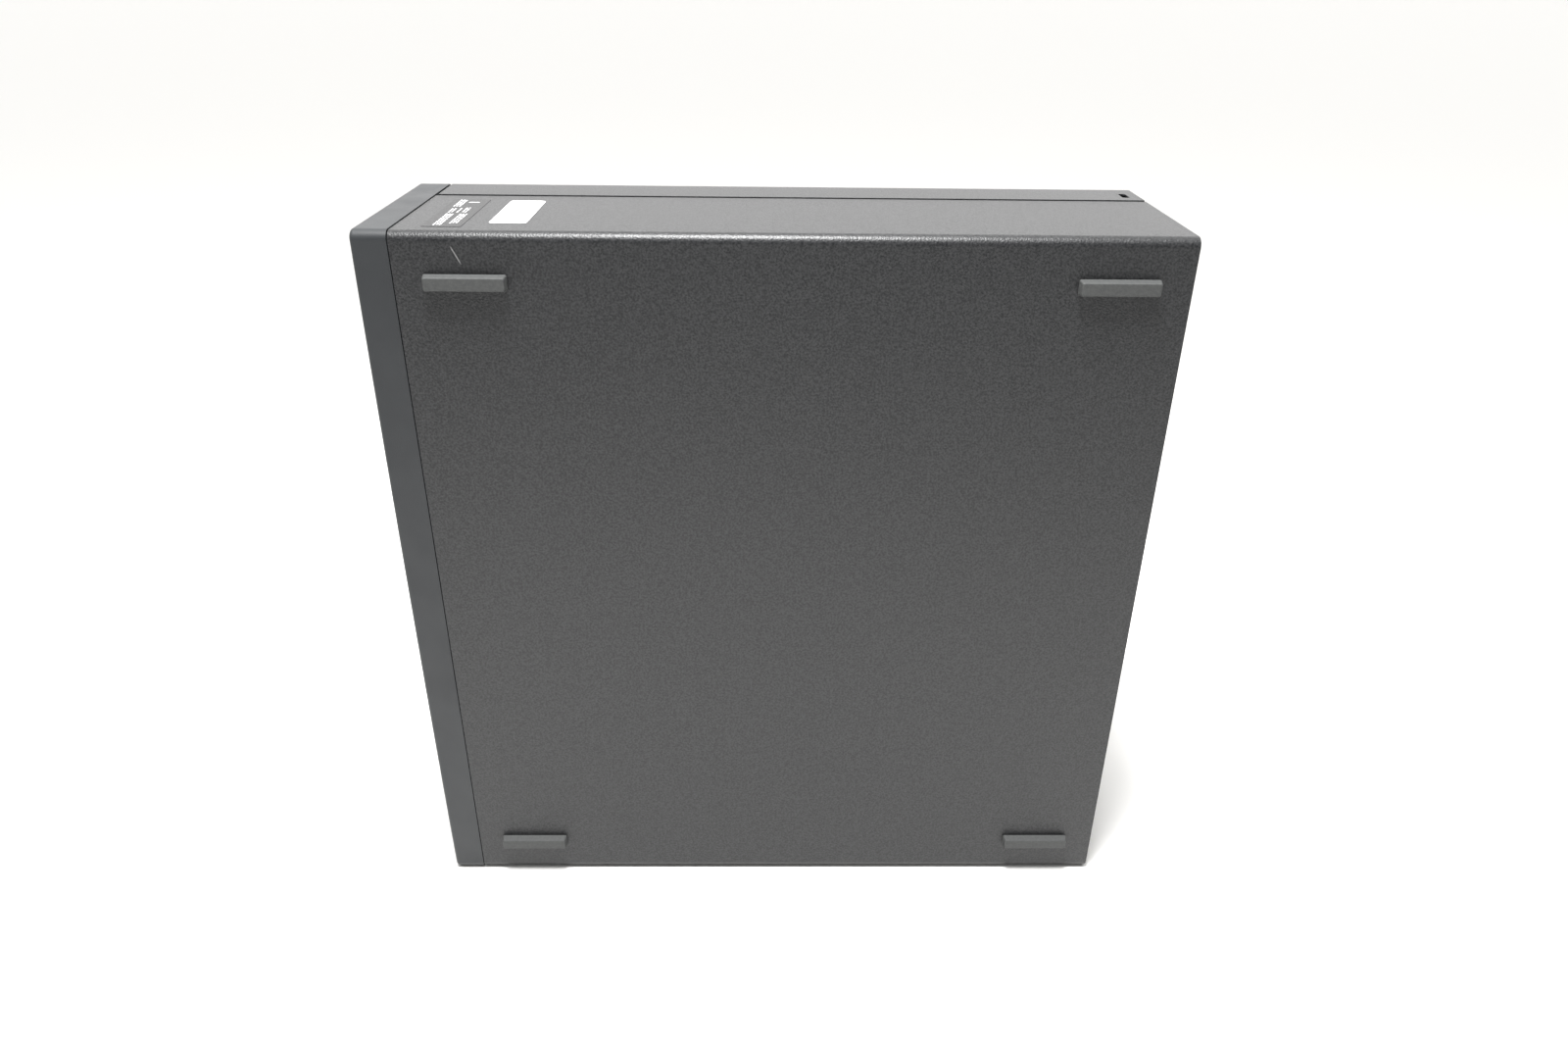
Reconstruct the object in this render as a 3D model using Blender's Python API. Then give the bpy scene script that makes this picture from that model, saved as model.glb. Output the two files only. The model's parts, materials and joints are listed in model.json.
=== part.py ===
"""Small-form-factor desktop computer standing on its side, as separate named pieces.

Frame: +Z up as it stands, the front bezel faces -Y, the rear faces +Y, the pan with its four
rubber pads faces +X and the lift-off cover faces -X.  The origin is the middle of the base.
All sizes are metres, written as millimetres times mm.
"""

import math

import bmesh
import bpy
from mathutils import Matrix, Vector

mm = 0.001

# ---------------------------------------------------------------- driving dimensions
BODY_D = 292.0 * mm          # bezel corners to rear wall
BODY_H = 290.0 * mm          # floor to the top of the cover
PAD_PROUD = 3.5 * mm         # how far the rubber pads stand out of the pan
REAR_PROUD = 8.6 * mm        # how far the padlock loop stands behind the rear wall
BEZEL_BOW = 0.6 * mm         # crown of the bezel's face at mid height

GAP = 0.3 * mm               # clearance between pieces that touch
RUN = 0.4 * mm               # clearance around pieces that slide
SHEET = 0.9 * mm             # steel gauge of case and cover
FOLD_R = 3.6 * mm            # outer fold radius of the pan
COVER_R = 2.0 * mm           # outer fold radius of the cover
FLANGE_W = 23.5 * mm         # how far the cover wraps over the top and the base
CASE_SINK = 0.3 * mm         # case walls set back from the bezel's and the cover's faces
JOG = 1.2 * mm               # width of the step down to the ledge under the cover's flange
SEAM = 1.0 * mm              # gap between the bezel and the cover's front edge

BEZEL_D = 12.7 * mm          # bezel depth
BEZEL_WALL = 2.2 * mm
BEZEL_RIM_R = 1.4 * mm
VENT_COUNT = 15
VENT_H = 3.4 * mm
VENT_PITCH = 8.0 * mm
VENT_LOW = 20.0 * mm         # height of the lowest vent
WALL_LIP = 9.0 * mm          # depth of the flange around the front wall
REAR_VENT_COUNT = 8
REAR_VENT_H = 2.4 * mm
REAR_VENT_PITCH = 4.6 * mm
REAR_VENT_GAP = 6.0 * mm     # power supply to the lowest vent above it
TONGUE = (3.0 * mm, 5.0 * mm)
TONGUE_REACH = 6.0 * mm

PAD_L = 29.0 * mm
PAD_W = 5.8 * mm
PAD_EDGE = 14.6 * mm         # case edge to pad
PAD_FRONT = 23.4 * mm        # bezel corner plane to the front pads
PAD_REAR = 11.6 * mm         # rear wall to the rear pads

LOCK_L = 7.6 * mm
LOCK_W = 2.8 * mm
LOCK_REAR = 4.6 * mm         # rear wall to the lock slot
LOCK_SIDE = 10.4 * mm        # cover face to the lock slot

DISC_DRIVE = (12.7 * mm, 126.0 * mm, 128.0 * mm)
DISC_R = 60.5 * mm
DRIVE_TOP = 15.0 * mm        # top of the case to the optical drive
HARD_DISK = (26.1 * mm, 147.0 * mm, 101.6 * mm)
CAGE_SHEET = 0.9 * mm
CAGE_AIR = 3.15 * mm         # cover to drive cage
DISK_AIR = 0.4 * mm          # optical drive to hard disk

PSU = (80.0 * mm, 165.0 * mm, 66.0 * mm)
PSU_SHEET = 0.8 * mm
PSU_FAN = 60.0 * mm
PSU_HUB_R = 11.0 * mm
PSU_VENT_H = 2.6 * mm
PSU_VENT_PITCH = 5.0 * mm
INLET = (27.0 * mm, 20.0 * mm)
INLET_SIDE = 22.0 * mm       # side of the power supply to the middle of its inlet
INLET_UP = 16.0 * mm         # base of the power supply to the middle of its inlet

STANDOFF = 6.2 * mm
BOARD_T = 1.6 * mm
SLOT_FLOOR = 3.6 * mm        # plastic under a memory module
BOARD = (196.0 * mm, 208.0 * mm)
CPU_FAN = 76.0 * mm
CPU_HUB_R = 14.0 * mm
FAN_T = 15.0 * mm
FAN_RIM = 3.0 * mm           # least wall between the bore and the sides of a fan frame
BLADE_COUNT = 7
BLADE_T = 1.2 * mm
BLADE_TWIST = 34.0           # degrees from one end of a blade to the other
HEATSINK = 80.0 * mm
FIN_COUNT = 20
FIN_T = 1.2 * mm
FIN_H = 28.0 * mm
MODULE_L = 133.35 * mm
MODULE_T = 1.2 * mm
MEMORY_SLOT_H = 9.0 * mm
MEMORY_SLOT_W = 6.4 * mm
MODULE_H = 30.0 * mm
MODULE_PITCH = 9.5 * mm
MODULE_AIR = 1.55 * mm       # memory modules to the disk above them
SLOT_PITCH = 20.32 * mm
BRACKET_W = 18.4 * mm
BRACKET_L = 73.0 * mm
CARD_SLOT_L = (89.0 * mm, 39.0 * mm)
CARD_SLOT_H = 11.0 * mm
CARD_SLOT_W = 7.4 * mm
COIN_R = 10.0 * mm
COIN_T = 4.0 * mm

USB = (5.9 * mm, 13.2 * mm)  # outer size of a port shell, thin side and long side
PORT_PITCH = 16.0 * mm

# The case is as thick as what is stacked in it, from the cover to the pan.
BODY_T = (SHEET + CAGE_AIR + CAGE_SHEET + GAP + DISC_DRIVE[0] + DISK_AIR + HARD_DISK[0]
          + MODULE_AIR + MODULE_H + GAP + SLOT_FLOOR + GAP + BOARD_T + GAP + STANDOFF + SHEET)

# ---------------------------------------------------------------- main planes
X_COVER = -(BODY_T + PAD_PROUD) / 2
X_PAN = X_COVER + BODY_T
X_IN = X_PAN - SHEET
X_LIP = X_COVER + SHEET + 2 * GAP            # free edge of the case walls, under the cover
Y_FRONT = -(BODY_D + REAR_PROUD + BEZEL_BOW) / 2 + BEZEL_BOW
Y_REAR = Y_FRONT + BODY_D
Y_REAR_IN = Y_REAR - SHEET
Y_BEZEL_BACK = Y_FRONT + BEZEL_D
Y_CASE = Y_BEZEL_BACK + GAP                  # front edge of the case
Y_WALL = Y_CASE + SHEET                      # back of the front wall
Z_LEDGE = (SHEET + GAP, BODY_H - SHEET - GAP)     # outer faces under the cover's flanges
Z_LOW_IN = Z_LEDGE[0] + SHEET
Z_TOP_IN = Z_LEDGE[1] - SHEET
X_SEAM = X_COVER + FLANGE_W
X_STEP = X_SEAM + 2 * GAP

X_BOARD_BACK = X_IN - STANDOFF - GAP
X_BOARD = X_BOARD_BACK - BOARD_T             # component side of the board
Y_BOARD = (Y_REAR - 6.0 * mm - BOARD[0], Y_REAR - 6.0 * mm)
Z_BOARD = (Z_TOP_IN - 4.0 * mm - BOARD[1], Z_TOP_IN - 4.0 * mm)

Z_DRIVE = (BODY_H - DRIVE_TOP - DISC_DRIVE[2], BODY_H - DRIVE_TOP)
X_CAGE = X_COVER + SHEET + CAGE_AIR
X_DRIVE = X_CAGE + CAGE_SHEET + GAP
Y_DRIVE = Y_FRONT + 3.5 * mm
Z_CAGE = (Z_DRIVE[0] - 1.0 * mm, Z_DRIVE[1] + 1.0 * mm)
X_DISK = X_DRIVE + DISC_DRIVE[0] + DISK_AIR
Y_DISK = Y_WALL + 2.0 * mm

X_PSU = X_IN - GAP - PSU[0]
Y_PSU = Y_REAR_IN - GAP - PSU[1]
Z_PSU = Z_LOW_IN + GAP

X_PORT = X_PAN - 20.1 * mm                   # middle of the front port strip
Z_PORT = BODY_H - 130.0 * mm                 # lowest front port
PORT_COUNT = 4
Z_BUTTON = BODY_H - 28.0 * mm
BUTTON = 15.0 * mm

# ---------------------------------------------------------------- places that pieces share
IO_WINDOW = (X_BOARD - 20 * mm, X_BOARD + 1.0 * mm, Z_BOARD[0] + 10 * mm, Z_BOARD[0] + 150 * mm)
CARD_Z = [Z_BOARD[1] - 16.5 * mm - SLOT_PITCH * i for i in (1, 0)]
X_CARD = X_IN - 5 * mm - BRACKET_L
BOSS_Y = [Y_BOARD[0] + 6 * mm, (Y_BOARD[0] + Y_BOARD[1]) / 2, Y_BOARD[1] - 6 * mm]
BOSS_Z = [Z_BOARD[0] + 6 * mm, Z_BOARD[1] - 6 * mm]
CPU = (Y_BOARD[0] + 124 * mm, Z_BOARD[0] + 46 * mm)
MEMORY_Y = Y_BOARD[0] + 35 * mm
MEMORY_Z = Z_BOARD[0] + 8 * mm
DISH_Y = (Y_REAR - 58 * mm, Y_REAR - 18 * mm)
DISH_Z = (BODY_H - 58 * mm, BODY_H - 28 * mm)
DISH_D = 6.9 * mm
SLIDER_L = 18.0 * mm
LATCH_TRAVEL = 3.5 * mm
TONGUE_X = (X_COVER + 7.6 * mm, X_PAN - 7.0 * mm)
TONGUE_Z = (11.0 * mm, BODY_H - 9.0 * mm)
SPEAKER_Z = (58.0 * mm, 98.0 * mm)
Z_JACK = Z_PORT + PORT_COUNT * PORT_PITCH
JACK_R = 2.9 * mm
JACK_HOLE_R = 1.8 * mm
Z_LIGHT = Z_BUTTON - 17.0 * mm
LIGHT_R = 1.2 * mm
EJECT = (2.6 * mm, 8.4 * mm)
LATCH_Z = (CARD_Z[0] - 9 * mm, CARD_Z[1] + 9 * mm)
X_LATCH = X_CARD + 12 * mm
Y_LATCH = Y_REAR + 2.4 * mm
LATCH_PIN_R = 0.8 * mm
EAR_T = 1.6 * mm
REAR_PORTS = {                # middle height, width, how far it stands off the board, kind
    "rear_audio_jack": (IO_WINDOW[2] + 9 * mm, 12.0 * mm, 12.0 * mm, "jack"),
    "network_socket": (IO_WINDOW[2] + 28 * mm, 16.4 * mm, 13.6 * mm, "network"),
    "rear_usb_1": (IO_WINDOW[2] + 50 * mm, 14.6 * mm, 15.8 * mm, "stack"),
    "rear_usb_2": (IO_WINDOW[2] + 70 * mm, 14.6 * mm, 15.8 * mm, "stack"),
    "display_socket_1": (IO_WINDOW[2] + 94 * mm, 18.6 * mm, 7.4 * mm, "display"),
    "display_socket_2": (IO_WINDOW[2] + 118 * mm, 18.6 * mm, 7.4 * mm, "display"),
}
HEADERS = {                   # Y span, Z span, height above the board
    "power": ((Y_BOARD[0] + 62 * mm, Y_BOARD[0] + 76 * mm),
              (Z_BOARD[0] + 2 * mm, Z_BOARD[0] + 10 * mm), 9 * mm),
    "disk": ((Y_BOARD[0] + 84 * mm, Y_BOARD[0] + 90 * mm),
             (Z_BOARD[0] + 110 * mm, Z_BOARD[0] + 124 * mm), 8 * mm),
    "fan": ((Y_BOARD[0] + 76 * mm, Y_BOARD[0] + 81 * mm),
            (Z_BOARD[0] + 78 * mm, Z_BOARD[0] + 88 * mm), 6 * mm),
    "front": ((Y_BOARD[0] + 4 * mm, Y_BOARD[0] + 12 * mm),
              (Z_BOARD[0] + 60 * mm, Z_BOARD[0] + 80 * mm), 6 * mm),
}


# ---------------------------------------------------------------- small modelling tools
def look(name, colour, roughness, metallic=0.0):
    """A plain Principled material."""
    material = bpy.data.materials.new(name)
    material.use_nodes = True
    shader = material.node_tree.nodes["Principled BSDF"]
    shader.inputs["Base Color"].default_value = (*colour, 1.0)
    shader.inputs["Roughness"].default_value = roughness
    shader.inputs["Metallic"].default_value = metallic
    return material


def put(name, bm, material, origin=(0.0, 0.0, 0.0), parent=None, smooth=None):
    """Turn a bmesh in world coordinates into a named object with its origin where asked."""
    bmesh.ops.recalc_face_normals(bm, faces=bm.faces)
    bmesh.ops.translate(bm, verts=bm.verts, vec=-Vector(origin))
    mesh = bpy.data.meshes.new(name)
    bm.to_mesh(mesh)
    bm.free()
    mesh.materials.append(material)
    if smooth is not None:
        mesh.shade_smooth()
        mesh.set_sharp_from_angle(angle=math.radians(smooth))
    thing = bpy.data.objects.new(name, mesh)
    thing.location = origin
    if parent is not None:
        thing.parent = parent
        thing.location = Vector(origin) - parent.location
    bpy.context.scene.collection.objects.link(thing)
    return thing


def add_box(bm, low, high, round_axis=None, radius=0.0, segments=3):
    """Add a cuboid; round_axis rounds the four edges along that axis, "all" rounds every edge."""
    size = [high[i] - low[i] for i in range(3)]
    middle = [(high[i] + low[i]) / 2 for i in range(3)]
    place = Matrix.Translation(middle) @ Matrix.Diagonal((*size, 1.0))
    verts = bmesh.ops.create_cube(bm, size=1.0, matrix=place)["verts"]
    if radius > 0.0:
        edges = {edge for vert in verts for edge in vert.link_edges}
        if round_axis != "all":
            axis = "XYZ".index(round_axis)
            edges = [e for e in edges if abs((e.verts[0].co - e.verts[1].co)[axis]) > 1e-7]
        bmesh.ops.bevel(bm, geom=list(edges), offset=radius, segments=segments, profile=0.5,
                        affect="EDGES", clamp_overlap=True)
    return bm


def box(low, high, round_axis=None, radius=0.0, segments=3):
    return add_box(bmesh.new(), low, high, round_axis, radius, segments)


TURN = {"X": Matrix.Rotation(math.pi / 2, 4, "Y"), "Y": Matrix.Rotation(-math.pi / 2, 4, "X"),
        "Z": Matrix.Identity(4)}


def add_rod(bm, centre, axis, radius, length, segments=16):
    """Add a cylinder along one axis, centred on a point."""
    bmesh.ops.create_cone(bm, cap_ends=True, cap_tris=False, segments=segments, radius1=radius,
                          radius2=radius, depth=length,
                          matrix=Matrix.Translation(centre) @ TURN[axis])
    return bm


def rod(centre, axis, radius, length, segments=16):
    return add_rod(bmesh.new(), centre, axis, radius, length, segments)


def prism(outline, axis, low, high):
    """Extrude a closed outline along an axis; its points hold the two other coordinates."""
    index = "XYZ".index(axis)
    bm = bmesh.new()
    verts = []
    for point in outline:
        spot = list(point)
        spot.insert(index, low)
        verts.append(bm.verts.new(spot))
    face = bm.faces.new(verts)
    grown = bmesh.ops.extrude_face_region(bm, geom=[face])["geom"]
    shift = [0.0, 0.0, 0.0]
    shift[index] = high - low
    bmesh.ops.translate(bm, verts=[g for g in grown if isinstance(g, bmesh.types.BMVert)],
                        vec=shift)
    return bm


def arc(centre, radius, start, end, steps=5):
    """Points on a circle from one angle to another, in degrees."""
    points = []
    for i in range(steps + 1):
        angle = math.radians(start + (end - start) * i / steps)
        points.append((centre[0] + radius * math.cos(angle), centre[1] + radius * math.sin(angle)))
    return points


def hide_tool(name, bm, target):
    """A tool shape, hidden and drawn as wire, that moves with the piece it works on."""
    tool = put(name, bm, target.data.materials[0])
    tool.parent = target
    tool.location = -target.location
    if target.parent is not None:
        tool.location = -(target.location + target.parent.location)
    tool.hide_render = True
    tool.display_type = "WIRE"
    return tool


def boolean(target, bm, operation):
    """Cut a shape out of a piece, or fuse it on, and keep the tool as a hidden wire object."""
    name = f"tool.{target.name}.{len(target.modifiers)}"
    modifier = target.modifiers.new(name=operation.title(), type="BOOLEAN")
    modifier.object = hide_tool(name, bm, target)
    modifier.operation = operation
    modifier.solver = "EXACT"


def carve(target, bm):
    boolean(target, bm, "DIFFERENCE")


def weld(target, bm):
    boolean(target, bm, "UNION")


def boxes(corners):
    """Several separate cuboids in one tool."""
    bm = bmesh.new()
    for low, high in corners:
        add_box(bm, low, high)
    return bm


def smooth_route(points, spacing):
    """Points along a smooth curve through the route's own points (cubic Hermite spans)."""
    knots = [Vector(point) for point in points]
    heading = [(knots[min(i + 1, len(knots) - 1)] - knots[max(i - 1, 0)]).normalized()
               for i in range(len(knots))]
    path = []
    for i in range(len(knots) - 1):
        start, end = knots[i], knots[i + 1]
        length = (end - start).length
        steps = max(2, round(length / spacing))
        for k in range(steps):
            t = k / steps
            path.append((2 * t ** 3 - 3 * t ** 2 + 1) * start + (3 * t ** 2 - 2 * t ** 3) * end
                        + length * ((t ** 3 - 2 * t ** 2 + t) * heading[i]
                                    + (t ** 3 - t ** 2) * heading[i + 1]))
    path.append(knots[-1])
    return path


def cable(name, route, radius, material):
    """A round cable: a curve with a bevel and filled caps."""
    path = smooth_route(route, 5 * radius)
    curve = bpy.data.curves.new(name, "CURVE")
    curve.dimensions = "3D"
    curve.bevel_depth = radius
    curve.bevel_resolution = 2
    curve.use_fill_caps = True
    spline = curve.splines.new("POLY")
    spline.points.add(len(path) - 1)
    for point, spot in zip(spline.points, path):
        point.co = (*spot, 1.0)
    curve.materials.append(material)
    bpy.context.scene.collection.objects.link(bpy.data.objects.new(name, curve))


# ---------------------------------------------------------------- case and cover
def cover_section(inset):
    """Outline (X, Z) of the cover's channel, open towards +X."""
    x, low, high, radius = X_COVER + inset, inset, BODY_H - inset, COVER_R - inset
    return ([(X_SEAM, low)] + arc((x + radius, low + radius), radius, -90, -180)
            + arc((x + radius, high - radius), radius, 180, 90) + [(X_SEAM, high)])


def case_section(inset, x_open):
    """Outline (X, Z) of the case, open towards -X, stepped in where the cover's flanges lie."""
    x, radius = X_PAN - inset, FOLD_R - inset
    low, high = CASE_SINK + inset, BODY_H - CASE_SINK - inset
    return ([(x_open, Z_LEDGE[0] + inset), (X_STEP, Z_LEDGE[0] + inset), (X_STEP + JOG, low)]
            + arc((x - radius, low + radius), radius, -90, 0)
            + arc((x - radius, high - radius), radius, 0, 90)
            + [(X_STEP + JOG, high), (X_STEP, Z_LEDGE[1] - inset), (x_open, Z_LEDGE[1] - inset)])


def make_chassis(paint):
    pan = put("chassis_pan", prism(case_section(0.0, X_LIP), "Y", Y_CASE, Y_REAR), paint, smooth=30)
    carve(pan, prism(case_section(SHEET, X_LIP - 5 * mm), "Y", Y_CASE - 5 * mm, Y_REAR_IN))

    def window(x_low, x_high, z_low, z_high):
        return (x_low, Y_REAR_IN - 2 * mm, z_low), (x_high, Y_REAR + 2 * mm, z_high)

    windows = [window(X_PSU + 4 * mm, X_IN - 5 * mm, Z_PSU + 3 * mm, Z_PSU + PSU[2] - 3 * mm),
               window(*IO_WINDOW)]
    for z in CARD_Z:
        windows.append(window(X_CARD + 6 * mm, X_CARD + BRACKET_L - 4 * mm, z - 6.5 * mm,
                              z + 6.5 * mm))
    for i in range(REAR_VENT_COUNT):
        z = Z_PSU + PSU[2] + REAR_VENT_GAP + i * REAR_VENT_PITCH
        windows.append(window(X_LIP + 8 * mm, X_LIP + 42 * mm, z, z + REAR_VENT_H))
    lock_x = X_COVER + LOCK_SIDE
    windows.append(((lock_x - 1 * mm, Y_REAR - LOCK_REAR - LOCK_W - 1 * mm, Z_TOP_IN - 2 * mm),
                    (lock_x + LOCK_L + 1 * mm, Y_REAR - LOCK_REAR + 1 * mm, BODY_H)))
    carve(pan, boxes(windows))

    # bosses that carry the board, pressed feet under the base and ears for the card latch
    fused = bmesh.new()
    for y in BOSS_Y:
        for z in BOSS_Z:
            add_rod(fused, (X_IN - STANDOFF / 2 + 0.2 * mm, y, z), "X", 3.2 * mm,
                    STANDOFF + 0.4 * mm, 12)
    for y in (Y_CASE + 30 * mm, Y_REAR - 40 * mm):
        add_box(fused, (X_PAN - 26 * mm, y - 12 * mm, 0.0),
                (X_PAN - 14 * mm, y + 12 * mm, CASE_SINK + SHEET / 2))
    for z in (LATCH_Z[0] - GAP - EAR_T / 2, LATCH_Z[1] + GAP + EAR_T / 2):
        add_box(fused, (X_LATCH - 2 * mm, Y_REAR - SHEET / 2, z - EAR_T / 2),
                (X_LATCH + 2 * mm, Y_LATCH + 2 * mm, z + EAR_T / 2))
    weld(pan, fused)
    carve(pan, rod((X_LATCH, Y_LATCH, sum(LATCH_Z) / 2), "Z", LATCH_PIN_R + GAP,
                   LATCH_Z[1] - LATCH_Z[0] + 2 * GAP + 2 * EAR_T + 2 * mm, 12))


def make_front_wall(steel):
    low = (X_LIP + GAP, Y_CASE, Z_LOW_IN + GAP)
    high = (X_IN - GAP, Y_CASE + WALL_LIP, Z_TOP_IN - GAP)
    wall = put("chassis_front", box(low, high, "Y", FOLD_R - SHEET), steel)
    carve(wall, box((low[0] + SHEET, Y_WALL, low[2] + SHEET),
                    (high[0] - SHEET, high[1] + 2 * mm, high[2] - SHEET), "Y", 1 * mm))

    def window(x_low, x_high, z_low, z_high):
        return (x_low, Y_CASE - 2 * mm, z_low), (x_high, Y_WALL + 2 * mm, z_high)

    cuts = [window(X_DRIVE - 0.5 * mm, X_DRIVE + DISC_DRIVE[0] + 0.5 * mm,
                   Z_DRIVE[0] - 0.5 * mm, Z_DRIVE[1] + 0.5 * mm),
            window(X_PORT - 6 * mm, X_PORT + 6 * mm, Z_PORT - 9 * mm,
                   Z_PORT + PORT_COUNT * PORT_PITCH + 8 * mm),
            window(X_PORT - 10 * mm, X_PORT + 10 * mm, Z_BUTTON - 24 * mm, Z_BUTTON + 10 * mm)]
    for i in range(VENT_COUNT):
        z = VENT_LOW + i * VENT_PITCH
        cuts.append(window(X_LIP + 12 * mm, X_PORT - 14 * mm, z - 2.4 * mm, z + 2.4 * mm))
        if SPEAKER_Z[0] < z < SPEAKER_Z[1]:
            cuts.append(window(X_PORT - 6 * mm, X_PORT + 8 * mm, z - 1.2 * mm, z + 1.2 * mm))
    for x in TONGUE_X:
        for z in TONGUE_Z:
            cuts.append(window(x - TONGUE[0] / 2 - RUN, x + TONGUE[0] / 2 + RUN,
                               z - TONGUE[1] / 2 - RUN, z + TONGUE[1] / 2 + RUN))
    carve(wall, boxes(cuts))


def make_cover(paint, plastic):
    """The lift-off cover with its lock slot, and the finger dish and sliding latch in its face."""
    middle = ((X_COVER + X_SEAM) / 2, (Y_CASE + Y_REAR) / 2, BODY_H / 2)
    channel = prism(cover_section(0.0) + cover_section(SHEET)[::-1], "Y", Y_BEZEL_BACK + SEAM,
                    Y_REAR - GAP)
    cover = put("access_cover", channel, paint, origin=middle, smooth=30)
    lock_x = X_COVER + LOCK_SIDE
    carve(cover, boxes([((lock_x, Y_REAR - LOCK_REAR - LOCK_W, BODY_H - 2 * mm),
                         (lock_x + LOCK_L, Y_REAR - LOCK_REAR, BODY_H + 2 * mm)),
                        ((X_COVER - 2 * mm, DISH_Y[0] - GAP, DISH_Z[0] - GAP),
                         (X_COVER + 2 * mm, DISH_Y[1] + GAP, DISH_Z[1] + GAP))]))

    rim = 1.5 * mm
    floor = X_COVER + DISH_D
    dish = put("latch_dish", box((X_COVER, DISH_Y[0], DISH_Z[0]),
                                 (floor + rim, DISH_Y[1], DISH_Z[1]), "X", 2 * mm), plastic,
               origin=(floor, sum(DISH_Y) / 2, sum(DISH_Z) / 2), parent=cover, smooth=30)
    lip = X_COVER + SHEET + GAP
    weld(dish, box((lip, DISH_Y[0] - 3 * mm, DISH_Z[0] - 3 * mm),
                   (lip + 1 * mm, DISH_Y[1] + 3 * mm, DISH_Z[1] + 3 * mm)))
    carve(dish, box((X_COVER - 2 * mm, DISH_Y[0] + rim, DISH_Z[0] + rim),
                    (floor, DISH_Y[1] - rim, DISH_Z[1] - rim), "X", 1.5 * mm))

    slider_end = DISH_Y[1] - rim - RUN - LATCH_TRAVEL
    slider_y = (slider_end - SLIDER_L, slider_end)
    slider_z = (DISH_Z[0] + rim + RUN, DISH_Z[1] - rim - RUN)
    slider = put("cover_latch", box((floor - 4.6 * mm, slider_y[0], slider_z[0]),
                                    (floor - GAP, slider_y[1], slider_z[1]), "X", 1.2 * mm),
                 plastic, origin=(floor - 2.5 * mm, sum(slider_y) / 2, sum(slider_z) / 2),
                 parent=cover)
    grooves = [((floor - 6 * mm, slider_y[0] + (3 + 3 * i) * mm, slider_z[0] + 3 * mm),
                (floor - 3.8 * mm, slider_y[0] + (4.4 + 3 * i) * mm, slider_z[1] - 3 * mm))
               for i in range(4)]
    carve(slider, boxes(grooves))


def make_pads(rubber):
    for number, (y, z) in enumerate(((Y_FRONT + PAD_FRONT, BODY_H - PAD_EDGE - PAD_W),
                                     (Y_FRONT + PAD_FRONT, PAD_EDGE),
                                     (Y_REAR - PAD_REAR - PAD_L, BODY_H - PAD_EDGE - PAD_W),
                                     (Y_REAR - PAD_REAR - PAD_L, PAD_EDGE)), start=1):
        pad = box((X_PAN + GAP, y, z), (X_PAN + PAD_PROUD, y + PAD_L, z + PAD_W), "all",
                  0.8 * mm, 2)
        put(f"foot_pad_{number}", pad, rubber, smooth=40)


# ---------------------------------------------------------------- bezel
def bezel_outline():
    """Rounded rectangle (X, Z) of the bezel."""
    return (arc((X_PAN - FOLD_R, FOLD_R), FOLD_R, -90, 0)
            + arc((X_PAN - FOLD_R, BODY_H - FOLD_R), FOLD_R, 0, 90)
            + arc((X_COVER + COVER_R, BODY_H - COVER_R), COVER_R, 90, 180, 3)
            + arc((X_COVER + COVER_R, COVER_R), COVER_R, 180, 270, 3))


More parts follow.
